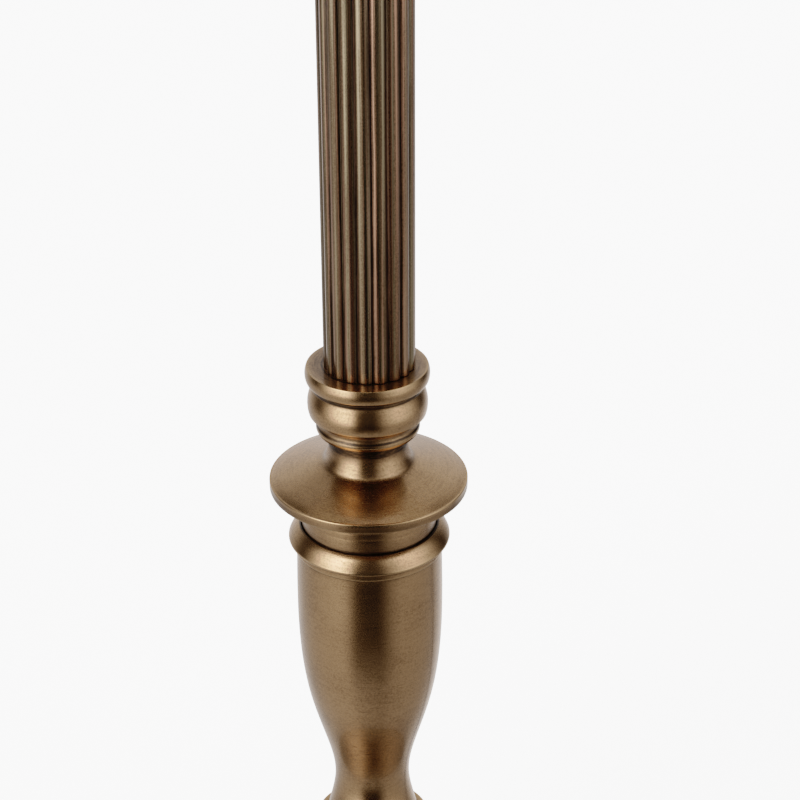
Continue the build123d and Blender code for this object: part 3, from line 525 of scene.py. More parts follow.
outer_skirt = turned("outer_skirt_turned", outline(
    z_rim,
    straight((SKIRT_BORE, SLEEVE_TOP), (SLEEVE, SLEEVE_TOP), (SLEEVE, COLLAR_HEIGHT)),
    straight((COLLAR, COLLAR_HEIGHT), (COLLAR, 0)),
    straight((SKIRT_SPIGOT, 0), (SKIRT_SPIGOT, -SKIRT_SPIGOT_HEIGHT)),
    straight((SKIRT_SPIGOT_BORE, -SKIRT_SPIGOT_HEIGHT), (SKIRT_SPIGOT_BORE, LEDGE_FLOOR)),
    straight((LEDGE, LEDGE_FLOOR), (LEDGE, LEDGE_TOP), (SKIRT_BORE, LEDGE_TOP)),
), around=240, wear=0.1, longest=0.42, seams=[(SLEEVE, z_rim + COLLAR_HEIGHT, 0.5, 0.8)], relief=skirt_relief)

shade_ring = turned("shade_ring_turned", outline(
    z_ring,
    straight((RING_BORE, RING_TOP), (RING, RING_TOP), (RING, FLANGE_TOP)),
    straight((FLANGE, FLANGE_TOP), (FLANGE, 0), (RING_BORE, 0)),
), around=240, wear=0.12, longest=0.5, seams=[(RING, z_ring + FLANGE_TOP, 0.6, 0.8)], relief=ring_relief)

SPRING_WIRE = 0.25
SPRING_TURNS = 4
SPRING_STEPS = 161
SPRING_SIDES = 12


def coil(name, node):
    """Spring: a round wire carried four times round its axis while it rises, each end cut flat.

    With t from 0 to 1 the middle of the wire is at R cos 8 pi t, R sin 8 pi t and a height in step with
    t; the wire's own circle stands across that line.
    """
    lowest, highest = (np.array(corner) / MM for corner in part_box(node))
    reach = (highest[0] - lowest[0]) / 2 - SPRING_WIRE
    middle = (lowest + highest) / 2
    t = np.linspace(0, 1, SPRING_STEPS)[:, None]
    turn = SPRING_TURNS * 2 * np.pi * t
    climb = highest[2] - lowest[2] - 2 * SPRING_WIRE
    slope = np.arctan2(climb, SPRING_TURNS * 2 * np.pi * reach)
    phi = np.arange(SPRING_SIDES)[None, :] * 2 * np.pi / SPRING_SIDES
    up = SPRING_WIRE * np.sin(phi)
    radius = reach + SPRING_WIRE * np.cos(phi)
    back = up * np.sin(slope)
    x = middle[0] + radius * np.cos(turn) + back * np.sin(turn)
    y = middle[1] + radius * np.sin(turn) - back * np.cos(turn)
    z = lowest[2] + SPRING_WIRE + climb * t + up * np.cos(slope)
    points = np.stack(np.broadcast_arrays(x, y, z), axis=-1)
    index = np.arange(SPRING_STEPS * SPRING_SIDES).reshape(SPRING_STEPS, SPRING_SIDES)
    sides = grid_quads(np.pad(index, ((0, 0), (0, 1)), mode="wrap"))[:, ::-1]
    ends = np.stack([index[0][::-1], index[-1]])
    cut = np.zeros((sides.size + ends.size, 2))
    return mesh_piece(name, points, [sides, ends], cut)


spring_front = coil("contact_spring_front_coil", "contact_spring_front")
spring_rear = coil("contact_spring_rear_coil", "contact_spring_rear")

# Felt under the foot

ANY_PHASE = 6.3
FELT_LINES = 101
FELT_WAVES = 14
FELT_FRAY = 0.25


def felt_disc(name, node):
    """Felt disc without a pole: a square grid u, v drawn to a circle, x = u sqrt(1 - v^2 / 2) and so on.

    Its half thickness falls to nothing at the rim as (1 - d^40)^0.5, with d the distance from the middle,
    and a seeded mix of waves makes the face uneven.
    """
    lowest, highest = (np.array(corner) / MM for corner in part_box(node))
    size = (highest[0] - lowest[0]) / 2 - 0.15
    thick = (highest[2] - lowest[2]) / 2
    line = np.sin(np.linspace(-1, 1, FELT_LINES) * np.pi / 2)
    u, v = np.meshgrid(line, line, indexing="ij")
    x = u * np.sqrt(1 - v ** 2 / 2)
    y = v * np.sqrt(1 - u ** 2 / 2)
    d = np.clip(np.hypot(x, y), 0, 1)
    chance = np.random.default_rng(5)
    fray = np.zeros_like(x)
    for wave in chance.uniform(-70, 70, (FELT_WAVES, 2)):
        fray = fray + np.sin(wave[0] * x + wave[1] * y + ANY_PHASE * chance.random()) / FELT_WAVES
    half = (thick - FELT_FRAY + FELT_FRAY * fray) * np.sqrt(np.clip(1 - d ** 40, 0, 1))
    middle = lowest[2] + thick
    rim = 1 + 0.0015 * fray
    top = np.stack([x * size * rim, y * size * rim, middle + half], axis=-1).reshape(-1, 3)
    under = top * (1, 1, 0) + (middle - half).reshape(-1, 1) * (0, 0, 1)
    index = np.arange(x.size).reshape(x.shape)
    inner = np.zeros(x.shape, bool)
    inner[1:-1, 1:-1] = True
    second = index.copy()
    second[inner] = x.size + np.arange(inner.sum())
    points = np.concatenate([top, under[inner.ravel()]])
    faces = np.concatenate([grid_quads(index), grid_quads(second)[:, ::-1]])
    return mesh_piece(name, points, [faces], points[faces.ravel(), :2] * MM)


felt = felt_disc("felt_pad_disc", "felt_pad")

# Cloth of the shade

SHADE_LOW = low("shade_cover")
SHADE_TALL = 190.0
SHADE_WIDE = 150.0
SHADE_NARROW = 95.0
SHADE_SLANT = np.hypot(SHADE_TALL, SHADE_WIDE - SHADE_NARROW)
CONE_SHARE = (SHADE_WIDE - SHADE_NARROW) / SHADE_SLANT
CONE_RISE = np.sqrt(1 - CONE_SHARE ** 2)
TAPE_HEIGHT = 9.0
TAPE = TAPE_HEIGHT / CONE_RISE
LAP_WIDTH = 8.0
CLOTH_STEPS = 540
CLOTH_WAVES = 16


def shade_cloth(name, start, end, inner, outer, rows, lap, sway):
    """Cloth on the shade's cone, from start to end along the slant and from inner to outer off its face.

    The section is a flat strip with round ends; at an angle a it stands off the cone's face by its own
    thickness, by a seeded sway, and by a lap at the rear where one edge is glued over the other. The UV
    map is the flat cut: a point at distance d from the cone's tip lies at d cos f, d sin f, where f is
    the angle from the shade's front times the share that the cone leaves of a full circle.
    """
    s = np.linspace(start, end, rows)
    thick = outer - inner
    round_end = np.clip(np.minimum(s - start, end - s) / (thick / 2), 0, 1)
    swell = thick / 2 * np.sqrt(1 - (1 - round_end) ** 2)
    middle = (inner + outer) / 2
    loop_s = np.concatenate([s[::-1], s[1:-1]])
    loop_out = np.concatenate([(middle + swell)[::-1], (middle - swell)[1:-1]])
    face = np.concatenate([np.ones(rows), np.zeros(rows - 2)])
    a = np.arange(CLOTH_STEPS)[None, :] * 2 * np.pi / CLOTH_STEPS + np.pi / 2
    chance = np.random.default_rng(rows)
    drift = np.zeros((len(loop_s), CLOTH_STEPS))
    waves = chance.integers(2, 60, CLOTH_WAVES)
    for wave, push in zip(waves, chance.uniform(0, ANY_PHASE, (CLOTH_WAVES, 2))):
        drift = drift + np.sin(wave * a + push[0]) * np.cos(loop_s[:, None] / 40 + push[1]) / CLOTH_WAVES
    from_seam = (a - np.pi / 2) * SHADE_WIDE
    fold = lap * face[:, None] * between(from_seam, 0.0, LAP_WIDTH, 0.8)
    off = loop_out[:, None] + sway * drift + fold
    radius = SHADE_WIDE - loop_s[:, None] * CONE_SHARE + off * CONE_RISE
    z = SHADE_LOW + loop_s[:, None] * CONE_RISE + off * CONE_SHARE
    points = np.stack([radius * np.cos(a), radius * np.sin(a), z], axis=-1)
    tip = SHADE_WIDE / CONE_SHARE - np.concatenate([loop_s, loop_s[:1]])[:, None]
    f = (np.arange(CLOTH_STEPS + 1)[None, :] / CLOTH_STEPS - 0.5) * 2 * np.pi * CONE_SHARE
    cut = corner_places(tip * np.cos(f) * MM, tip * np.sin(f) * MM)
    return mesh_piece(name, points, [ring_faces(*points.shape[:2])], cut)


cover = shade_cloth(
    "shade_cover_linen", 0.1, SHADE_SLANT - 0.1, inner=-0.58, outer=-0.02, rows=60, lap=0.3, sway=0.1)
low_tape = shade_cloth(
    "shade_bottom_tape_sewn", 0.1, TAPE - 0.1, inner=0.1, outer=0.5, rows=14, lap=0.25, sway=0.12)
high_tape = shade_cloth(
    "shade_top_tape_sewn", SHADE_SLANT - TAPE + 0.1, SHADE_SLANT - 0.2,
    inner=0.1, outer=0.5, rows=14, lap=0.25, sway=0.12)

# What each piece rides on, stands for and is made of

for piece, node, body, made_of in (
    (foot_knop, "foot_knop", "lamp", "antique_brass"),
    (vase, "vase", "lamp", "antique_brass"),
    (drip_pan, "drip_pan", "lamp", "antique_brass"),
    (column_seat, "column_seat", "lamp", "antique_brass"),
    (column, "column", "lamp", "antique_brass"),
    (column_cap, "column_cap", "lamp", "antique_brass"),
    (candle_cup, "candle_cup", "lamp", "antique_brass"),
    (outer_skirt, "outer_skirt", "lamp", "fitting_brass"),
    (shade_ring, "shade_ring", "shade_ring", "fitting_brass"),
    (spring_front, "contact_spring_front", "lamp", "spring_steel"),
    (spring_rear, "contact_spring_rear", "lamp", "spring_steel"),
    (felt, "felt_pad", "lamp", "felt"),
    (cover, "shade_cover", "shade", "shade_fabric"),
    (low_tape, "shade_bottom_tape", "shade", "shade_tape"),
    (high_tape, "shade_top_tape", "shade", "shade_tape"),
):
    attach(piece, body)
    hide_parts(node)

for piece, node, joint in (
    (spring_front, "contact_spring_front", "contact_front_slide"),
    (spring_rear, "contact_spring_rear", "contact_rear_slide"),
):
    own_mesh(piece)


# Finishes

class Wire:
    """An output socket. Sums, products and powers of wires and numbers add Math nodes."""

    def __init__(self, bench, socket):
        self.bench = bench
        self.socket = socket

    def __add__(self, other):
        return self.bench.math("ADD", self, other)

    def __radd__(self, other):
        return self.bench.math("ADD", other, self)

    def __sub__(self, other):
        return self.bench.math("SUBTRACT", self, other)

    def __rsub__(self, other):
        return self.bench.math("SUBTRACT", other, self)

    def __mul__(self, other):
        return self.bench.math("MULTIPLY", self, other)

    def __rmul__(self, other):
        return self.bench.math("MULTIPLY", other, self)

    def __truediv__(self, other):
        return self.bench.math("DIVIDE", self, other)

    def __pow__(self, other):
        return self.bench.math("POWER", self, other)

    def __neg__(self):
        return self.bench.math("MULTIPLY", self, -1.0)

    def __abs__(self):
        return self.bench.math("ABSOLUTE", self)

    def step(self, start, end):
        """Rises smoothly from 0 at start to 1 at end."""
        ends = {"From Min": start, "From Max": end, "To Min": 0.0, "To Max": 1.0, "Value": self}
        return self.bench.node("ShaderNodeMapRange", ends, {"interpolation_type": "SMOOTHSTEP"})

    def clip(self):
        """Held between 0 and 1."""
        return self.bench.math("MINIMUM", self.bench.math("MAXIMUM", self, 0.0), 1.0)


class Bench:
    """One node tree. node() makes a node from its type, its sockets' values or links, and its settings."""

    def __init__(self, tree):
        self.tree = tree
        tree.nodes.clear()

    def node(self, kind, sockets=None, settings=None, out=0):
        made = self.tree.nodes.new(kind)
        for name, value in (settings or {}).items():
            setattr(made, name, value)
        for name, value in (sockets or {}).items():
            if isinstance(value, Wire):
                self.tree.links.new(value.socket, made.inputs[name])
            else:
                made.inputs[name].default_value = value
        return Wire(self, made.outputs[out]) if made.outputs else made

    def math(self, operation, *terms):
        """Math node's result for wires or numbers."""
        return self.node("ShaderNodeMath", dict(enumerate(terms)), {"operation": operation})

    def place(self):
        """Object coordinates, in metres."""
        return self.node("ShaderNodeTexCoord", out=3)

    def marks(self):
        """What a turned piece keeps at its points: its turning, how dark it is from patina and painted shade,
        and how much it is lighter, as a rubbed edge and on the reeds as painted highlight.
        """
        turning = self.node("ShaderNodeAttribute", None, {"attribute_name": "turning"}, out=1)
        toning_and_painted_shade = self.node("ShaderNodeAttribute", None, {"attribute_name": "toning_and_painted_shade"}, out=2)
        edge = self.node("ShaderNodeAttribute", None, {"attribute_name": "edge"}, out=2)
        return turning, toning_and_painted_shade, edge

    def parts(self, vector):
        """The x, y and z of a vector."""
        split = self.node("ShaderNodeSeparateXYZ", {0: vector}).socket.node
        return [Wire(self, output) for output in split.outputs]

    def joined(self, x, y, z):
        """The vector of an x, a y and a z."""
        return self.node("ShaderNodeCombineXYZ", {0: x, 1: y, 2: z})

    def mix(self, share, first, second):
        """Colour between two colours."""
        first, second = (c if isinstance(c, Wire) else (*c, 1.0) for c in (first, second))
        return self.node("ShaderNodeMix", {0: share, 6: first, 7: second}, {"data_type": "RGBA"}, out=2)

    def stretch(self, vector, by):
        """Vector with each axis multiplied."""
        return self.node("ShaderNodeVectorMath", {0: vector, 1: by}, {"operation": "MULTIPLY"})

    def noise(self, vector, scale, detail=2.0, roughness=0.5):
        """Cloudy pattern around one half."""
        values = {"Vector": vector, "Scale": scale, "Detail": detail, "Roughness": roughness}
        return self.node("ShaderNodeTexNoise", values)

    def bump(self, height, strength, distance):
        """Normal of a surface raised by a height."""
        return self.node("ShaderNodeBump", {"Strength": strength, "Distance": distance, "Height": height})


def finish(name, look):
    """Material whose look sets the sockets of one Principled shader: look gets its bench and gives them."""
    material = bpy.data.materials.new(name)
    material.use_nodes = True
    bench = Bench(material.node_tree)
    shader = bench.node("ShaderNodeBsdfPrincipled", look(bench))
    bench.node("ShaderNodeOutputMaterial", {"Surface": shader})
    return material


BRASS_BODY = (0.475, 0.28, 0.145)
BRASS_DEEP = (0.16, 0.084, 0.036)
BRASS_RUBBED = (0.62, 0.39, 0.205)
# Darkest colour of the turned brass, where patina and painted shade are full.
BRASS_PATINA_AND_SHADE = (0.022, 0.014, 0.009)
REED_PINK = (0.45, 0.24, 0.155)
REED_OLIVE = (0.32, 0.25, 0.155)
REED_DEEP = (0.12, 0.075, 0.041)
# Darkest colour of the reeds, where patina and painted shade are full.
REED_PATINA_AND_SHADE = (0.014, 0.009, 0.006)
FOOT_BODY = (0.24, 0.188, 0.142)
FOOT_DEEP = (0.10, 0.074, 0.051)
TURNING_RINGS = (3.5, 3.5, 1.7)

# Radii of the foot's two steps, in metres
FOOT_LOW_STEP = 0.0712
FOOT_HIGH_STEP = 0.0262


def toned_brass(bench):
    """Antique brass off the lathe: rings of brushing, sandy and cloudy toning, dark patina in hollows and
    joints, painted shade on faces that look down and that other parts stand over, rubbed edges, all under
    a thin clear lacquer."""
    turning, toning_and_painted_shade, edge = bench.marks()
    place = bench.place()
    rings = bench.noise(bench.stretch(turning, TURNING_RINGS), 1.0, 4.0, 0.7)
    strokes = bench.noise(bench.stretch(turning, (1.6, 1.6, 4.2)), 1.0, 2.0, 0.6)
    cloud = bench.noise(place, 95.0, 4.0, 0.6)
    speck = bench.noise(place, 1550.0, 3.0, 0.8)
    scratch = strokes.step(0.6, 0.72)
    brushed = rings - 0.5
    grit = speck - 0.5
    tone = (cloud.step(0.36, 0.74) * 0.22 + brushed * 1.15 + grit * 2.3 - scratch * 0.25 + 0.11).clip()
    body = bench.mix(tone, BRASS_BODY, BRASS_DEEP)
    bare = bench.mix((edge * 0.7 - cloud * 0.2).clip(), body, BRASS_RUBBED)
    # Darkening from the mesh: patina in hollows and joints, and painted shade on faces that look down and on
    # faces that other parts stand over.
    patina_and_painted_shade = (toning_and_painted_shade * (0.72 + cloud * 0.5 + brushed * 0.9)).clip()
    return {
        "Base Color": bench.mix(patina_and_painted_shade * 0.95, bare, BRASS_PATINA_AND_SHADE),
        "Metallic": 1.0,
        "Roughness": (0.235 + brushed * 0.16 + grit * 0.2 + patina_and_painted_shade * 0.2 - edge * 0.05).clip(),
        "Anisotropic": 0.3,
        "Anisotropic Rotation": 0.25,
        "Normal": bench.bump(brushed * 0.7 + grit * 0.9, 0.26, 0.00007),
        "Coat Weight": 0.25,
        "Coat Roughness": 0.04,
    }


def reeded_brass(bench):
    """Antique brass of the drawn reeds: fine lines along the column, dark grooves, right flanks darkened
    as painted shade, and a lighter band left of each crest, rubbed and painted highlight.
    """
    turning, toning_and_painted_shade, edge = bench.marks()
    place = bench.place()
    lines = bench.noise(bench.stretch(turning, (1.25, 1.25, 0.008)), 1.0, 3.0, 0.75)
    tint = bench.noise(bench.stretch(turning, (0.95, 0.95, 0.004)), 1.0, 1.0, 0.5)
    cloud = bench.noise(place, 60.0, 3.0, 0.6)
    speck = bench.noise(place, 2300.0, 2.0, 0.75)
    drawn = lines.step(0.4, 0.6) - 0.5
    grit = speck - 0.5
    # edge lightens the band left of each crest: rubbed crests and painted highlight.
    tone = (0.5 + drawn + grit * 1.5 + (cloud - 0.5) * 0.4 - edge * 0.2).clip()
    warm = bench.mix(tint.step(0.42, 0.6), REED_PINK, REED_OLIVE)
    body = bench.mix(tone, warm, REED_DEEP)
    # Darkening from the mesh: patina in the grooves and painted shade on the right flanks.
    patina_and_painted_shade = (toning_and_painted_shade * (0.72 + cloud * 0.4 + drawn * 0.25)).clip()
    return {
        "Base Color": bench.mix(patina_and_painted_shade * 0.94, body, REED_PATINA_AND_SHADE),
        "Metallic": 1.0,
        "Roughness": (0.30 + drawn * 0.2 + grit * 0.14 + patina_and_painted_shade * 0.25).clip(),
        "Normal": bench.bump(drawn * 0.6 + grit * 0.4, 0.25, 0.00008),
        "Coat Weight": 0.2,
        "Coat Roughness": 0.06,
    }


def lathe_place(bench):
    """Place on a turned piece, and its radius and height in metres.

    The place is the direction round the axis, and millimetres that grow along the outline.
    """
    x, y, z = bench.parts(bench.place())
    r = (x * x + y * y + 1e-9) ** 0.5
    return bench.joined(x / r, y / r, (r - z) * 1000), r, z


def foot_brass(bench):
    """Antique brass of the spun foot: the stem's toning, with darker rings in the steps under and over the
    sweep.
    """
    turning, r, z = lathe_place(bench)
    place = bench.place()
    rings = bench.noise(bench.stretch(turning, TURNING_RINGS), 1.0, 4.0, 0.7)
    cloud = bench.noise(place, 70.0, 4.0, 0.6)
    speck = bench.noise(place, 2300.0, 2.0, 0.75)
    brushed = rings - 0.5
    grit = speck - 0.5
    tone = (cloud.step(0.36, 0.74) * 0.4 + brushed * 0.6 + grit * 1.5 + 0.16).clip()
    # Darker rings in the two steps of the foot.
    low_step = (1 - abs(r - FOOT_LOW_STEP).step(0.0003, 0.0022)) * z.step(0.012, 0.0145)
    high_step = (1 - abs(r - FOOT_HIGH_STEP).step(0.0005, 0.0035)) * z.step(0.04, 0.05)
    patina_and_painted_shade = (low_step + high_step).clip() * (0.5 + cloud * 0.6)
    return {
        "Base Color": bench.mix(patina_and_painted_shade.clip(), bench.mix(tone, FOOT_BODY, FOOT_DEEP), BRASS_PATINA_AND_SHADE),
        "Metallic": 1.0,
        "Roughness": (0.42 + brushed * 0.12 + grit * 0.14 + patina_and_painted_shade * 0.2).clip(),
        "Anisotropic": 0.3,
        "Anisotropic Rotation": 0.25,
        "Normal": bench.bump(brushed * 0.7 + grit * 0.6, 0.2, 0.00006),
        "Coat Weight": 0.25,
        "Coat Roughness": 0.04,
    }


def lathe_metal(light, dark, rough, ring_depth):
    """Clean turned metal: fine rings, faint clouds."""
    def look(bench):
        turning = lathe_place(bench)[0]
        rings = bench.noise(bench.stretch(turning, (1.5, 1.5, 5.0)), 1.0, 3.0, 0.6)
        cloud = bench.noise(bench.place(), 140.0, 3.0, 0.6)
        tone = (0.35 + (rings - 0.5) * 1.2 + (cloud - 0.5) * 1.1).clip()
        return {
            "Base Color": bench.mix(tone, light, dark),
            "Metallic": 1.0,
            "Roughness": (rough + (rings - 0.5) * 0.2 + (cloud - 0.5) * 0.12).clip(),
            "Normal": bench.bump(rings, ring_depth, 0.00008),
        }
    return look


def drawn_metal(light, dark, rough):
    """Plated or drawn metal with a fine all-over grain."""
    def look(bench):
        place = bench.place()
        cloud = bench.noise(place, 220.0, 4.0, 0.6)
        grain = bench.noise(place, 3000.0, 2.0, 0.6)
        tone = (0.35 + (cloud - 0.5) * 1.4 + (grain - 0.5) * 0.8).clip()
        return {
            "Base Color": bench.mix(tone, light, dark),
            "Metallic": 1.0,
            "Roughness": (rough + (cloud - 0.5) * 0.2 + (grain - 0.5) * 0.15).clip(),
            "Normal": bench.bump(grain, 0.12, 0.00005),
        }
    return look


def coated(light, dark, rough, peel_size, peel_depth):
    """Paint, plastic, card or raw casting: an opaque skin with a fine uneven surface."""
    def look(bench):
        place = bench.place()
        cloud = bench.noise(place, 60.0, 3.0, 0.6)
        peel = bench.noise(place, peel_size, 3.0, 0.6)
        tone = (0.4 + (cloud - 0.5) * 1.2 + (peel - 0.5) * 0.8).clip()
        return {
            "Base Color": bench.mix(tone, light, dark),
            "Roughness": (rough + (peel - 0.5) * 0.25).clip(),
            "Normal": bench.bump(peel, 0.3, peel_depth),
        }
    return look


def woven(light, dark, pitch, slub, depth):
    """Plain weave on the flat cut: warp over weft turn about in a chequer of threads, some of them thick."""
    def look(bench):
        cut = bench.node("ShaderNodeUVMap", None, {"uv_map": "cut"})
        u, v, _ = bench.parts(cut)
        thick_u = bench.noise(bench.stretch(cut, (0.4 / pitch, 6.0, 0.0)), 1.0, 2.0, 0.6)
        thick_v = bench.noise(bench.stretch(cut, (6.0, 0.4 / pitch, 0.0)), 1.0, 2.0, 0.6)
        cloud = bench.noise(cut, 18.0, 3.0, 0.6)
        turn = np.pi / pitch
        warp = bench.math("SINE", u * turn + (thick_v - 0.5) * 1.2)
        weft = bench.math("SINE", v * turn + (thick_u - 0.5) * 1.2)
        chequer = warp * weft * 0.5 + 0.5
        slubs = thick_u.step(0.52, 0.7) + thick_v.step(0.52, 0.7)
        tone = (chequer * 0.35 + slubs * slub + (cloud - 0.5) * 0.5).clip()
        return {
            "Base Color": bench.mix(tone, light, dark),
            "Roughness": (0.86 + (cloud - 0.5) * 0.1).clip(),
            "Sheen Weight": 0.15,
            "Sheen Roughness": 0.5,
            "Normal": bench.bump(chequer + slubs * 0.5, 0.5, depth),
        }
    return look


def pressed_wool(bench):
    """Green felt: matted short fibres."""
    place = bench.place()
    mat = bench.noise(place, 900.0, 5.0, 0.7)
    cloud = bench.noise(place, 40.0, 3.0, 0.6)
    tone = ((mat - 0.3) * 1.4 + (cloud - 0.5) * 0.5).clip()
    return {
        "Base Color": bench.mix(tone, (0.035, 0.065, 0.04), (0.11, 0.175, 0.12)),
        "Roughness": (0.92 + (mat - 0.5) * 0.1).clip(),
        "Sheen Weight": 0.3,
        "Sheen Roughness": 0.4,
        "Normal": bench.bump(mat, 0.6, 0.0003),
    }


antique_brass = finish("antique_brass_turned", toned_brass)
column_brass = finish("antique_brass_reeded", reeded_brass)
spun_brass = finish("antique_brass_spun", foot_brass)
fitting_brass = finish("fitting_brass_satin", lathe_metal((0.66, 0.47, 0.22), (0.46, 0.30, 0.12), 0.26, 0.2))
contact_brass = finish("contact_brass_bright", drawn_metal((0.74, 0.56, 0.28), (0.58, 0.41, 0.18), 0.24))
bar_brass = finish("bar_brass_polished", drawn_metal((0.76, 0.58, 0.30), (0.62, 0.45, 0.20), 0.18))
zinc_steel = finish("zinc_steel_plated", drawn_metal((0.62, 0.63, 0.65), (0.42, 0.43, 0.46), 0.32))
spring_steel = finish("spring_steel_drawn", drawn_metal((0.55, 0.55, 0.56), (0.36, 0.36, 0.37), 0.28))
cast_iron = finish("cast_iron_raw", coated(
    (0.10, 0.098, 0.095), (0.05, 0.048, 0.046), 0.7, peel_size=420.0, peel_depth=0.0004))
black_plastic = finish("black_plastic_moulded", coated(
    (0.03, 0.03, 0.032), (0.014, 0.014, 0.015), 0.42, peel_size=1500.0, peel_depth=0.00004))
white_metal = finish("white_metal_painted", coated(
    (0.82, 0.81, 0.79), (0.70, 0.69, 0.67), 0.38, peel_size=700.0, peel_depth=0.00005))
liner_card = finish("shade_liner_card", coated(
    (0.86, 0.84, 0.79), (0.78, 0.76, 0.70), 0.55, peel_size=300.0, peel_depth=0.00006))
green_felt = finish("felt_pressed", pressed_wool)
linen = finish("shade_linen", woven(
    (0.80, 0.73, 0.60), (0.64, 0.565, 0.44), pitch=0.0007, slub=0.35, depth=0.0002))
tape_cotton = finish("shade_tape_cotton", woven(
    (0.76, 0.69, 0.56), (0.62, 0.55, 0.43), pitch=0.0004, slub=0.1, depth=0.00012))

for pieces, material in (
    ((foot_knop, vase, drip_pan, column_seat, column_cap, candle_cup), antique_brass),
    ((column,), column_brass),
    ((outer_skirt, shade_ring), fitting_brass),
    ((spring_front, spring_rear), spring_steel),
    ((felt,), green_felt),
    ((cover,), linen),
    ((low_tape, high_tape), tape_cotton),
):
    for piece in pieces:
        piece.data.materials.append(material)

for nodes, material in (
    (("base_foot",), spun_brass),
    (("base_weight",), cast_iron),
    (("washer", "lock_nut", "threaded_tube", "grub_screw"), zinc_steel),
    (("cord_bush", "switch_block"), black_plastic),
    (("lampholder_cap", "bayonet_barrel"), fitting_brass),
    (("terminal_screws", "contact_plunger_front", "contact_plunger_rear"), contact_brass),
    (("push_bar",), bar_brass),
    (("shade_plate", "shade_arms", "shade_bottom_ring", "shade_top_ring"), white_metal),
    (("shade_liner",), liner_card),
):
    for node in nodes:
        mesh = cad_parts[node].data
        mesh.materials.clear()
        mesh.materials.append(material)

# Studio: a pale sweep that only the camera sees, and soft light by direction that the metal mirrors

SWEEP_FLAT = 4.0
SWEEP_BEND = 5.0
SWEEP_SIDES = 96


def studio_sweep():
    """Floor that rises far off into a dome: a line of radius and height carried round, closed at the top."""
    far = SWEEP_FLAT + SWEEP_BEND
    flat = np.array([(0.0, 0.0), (0.5, 0.0), (1.5, 0.0), (SWEEP_FLAT, 0.0)])
    rise = np.radians(np.linspace(0, 90, 24))
    curve = np.stack([SWEEP_FLAT + SWEEP_BEND * np.sin(rise), SWEEP_BEND - SWEEP_BEND * np.cos(rise)], axis=1)
    roof = np.stack([far * np.cos(rise), SWEEP_BEND + SWEEP_BEND * np.sin(rise)], axis=1)
    line = np.concatenate([flat, curve[1:], roof[1:]])
    angle = np.arange(SWEEP_SIDES) * 2 * np.pi / SWEEP_SIDES
    r, a = np.meshgrid(line[:, 0], angle, indexing="ij")
    z = np.broadcast_to(line[:, 1:], r.shape)
    points = np.stack([r * np.cos(a), r * np.sin(a), z], axis=-1).reshape(-1, 3)
    index = np.pad(np.arange(len(points)).reshape(r.shape), ((0, 0), (0, 1)), mode="wrap")
    quads = grid_quads(index)[:, [0, 3, 2, 1]]
    mesh = bpy.data.meshes.new("studio_sweep")
    mesh.from_pydata(points.tolist(), [], quads.tolist())
    mesh.polygons.foreach_set("use_smooth", np.ones(len(quads), bool))
    sweep = bpy.data.objects.new("studio_sweep", mesh)
    bpy.context.scene.collection.objects.link(sweep)
    sweep.visible_glossy = False
    sweep.visible_diffuse = False
    sweep.visible_transmission = False
    sweep.visible_shadow = False
    return sweep


def pale_paper(bench):
    """Paper that glows evenly and takes a faint shadow."""
    fibre = bench.noise(bench.place(), 3.0, 2.0, 0.5)
    return {
        "Base Color": bench.mix(fibre, (0.55, 0.55, 0.55), (0.57, 0.57, 0.57)),
        "Roughness": 0.9,
        "Specular IOR Level": 0.0,
        "Emission Color": (1.0, 1.0, 1.0, 1.0),
        "Emission Strength": 2.65,
    }


sweep = studio_sweep()
sweep.data.materials.append(finish("pale_paper", pale_paper))

# The table's far edge in what the metal mirrors: how far back it lies for each unit down
TABLE_EDGE = 0.753
DEGREES = 180 / np.pi


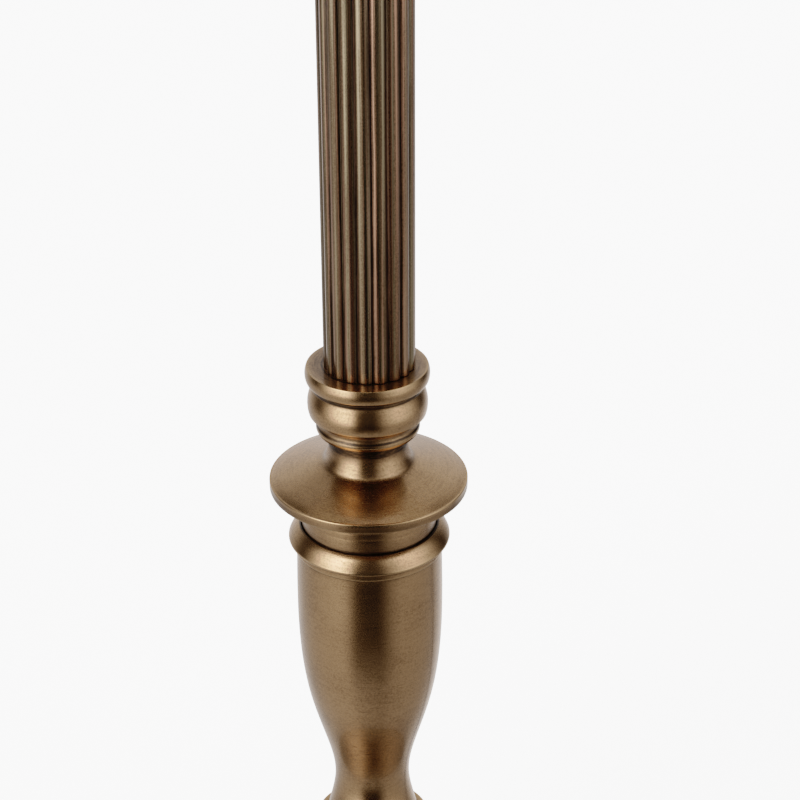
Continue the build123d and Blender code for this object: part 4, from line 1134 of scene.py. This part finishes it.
def studio_light():
    """Light by direction, with side and lift in degrees from the camera's way and from the level.

    A strong soft box stands to the left of the camera and a weaker one to the right, with a dark gap
    between them where the camera stands, dim walls behind and a dim floor below.
    """
    world = bpy.data.worlds.new("studio_light")
    world.use_nodes = True
    bench = Bench(world.node_tree)
    x, y, z = bench.parts(bench.node("ShaderNodeTexCoord", out=0))
    side = bench.math("ARCTAN2", x, -y) * DEGREES
    lift = bench.math("ARCSINE", z) * DEGREES
    above = lift.step(-28.0, -8.0)
    high = lift.step(5.0, 45.0)
    left = side.step(-108.0, -44.0) ** (1.8 - 0.5 * high) * (1 - side.step(-38 - 18 * high, -17.0))
    right = side.step(12.0, 60 + 6 * high) * (1 - side.step(56 + 14 * high, 122 + 6 * high))
    rear_left = 1 - side.step(-155 - 10 * high, -100 - 28 * high)
    rear_right = side.step(122.0, 165.0)
    boxes = left * (4.4 + 4.2 * high) + right * (1.7 + 0.8 * high) + 0.06
    walls = rear_left * (1.1 - 0.35 * high) + rear_right
    gap = side.step(-44.0, -19.0) * (1 - side.step(13.0, 51.0))
    floor = 0.68 - side.step(-30.0, 30.0) * 0.2
    floor = floor * (1 - gap * (0.2 + 0.76 * lift.step(-48.0, -36.0)))
    floor = floor + (1 - side.step(-175.0, -120.0)) * 0.6 + side.step(110.0, 170.0)
    table_edge = 1 - abs(y / -z - TABLE_EDGE).step(0.03, 0.06)
    floor = floor * (1 - table_edge * x.step(0.0, 0.1) * 0.85)
    level = above * (boxes + walls) + (1 - above) * floor
    light = bench.node("ShaderNodeBackground", {"Color": bench.joined(level, level, level), "Strength": 1.0})
    bench.node("ShaderNodeOutputWorld", {"Surface": light})
    bpy.context.scene.world = world


studio_light()

# Response of the camera, as light and what it shows: deep shadows, a long bright shoulder
RESPONSE = (
    (0.0, 0.0), (0.0209, 0.009), (0.03, 0.018), (0.051, 0.042), (0.0925, 0.09), (0.18, 0.18),
    (0.304, 0.28), (0.53, 0.41), (0.885, 0.57), (1.45, 0.72), (2.24, 0.85), (3.35, 0.939), (4.0, 0.96),
)
brightest, whitest = RESPONSE[-1]
settings = bpy.context.scene.view_settings
settings.view_transform = "Standard"
settings.look = "None"
settings.use_curve_mapping = True
response = settings.curve_mapping
response.white_level = (brightest, brightest, brightest)
curve = response.curves[3].points
curve[0].location = RESPONSE[0]
curve[1].location = (1.0, whitest)
for light, shown in RESPONSE[1:-1]:
    curve.new(light / brightest, shown)
response.update()
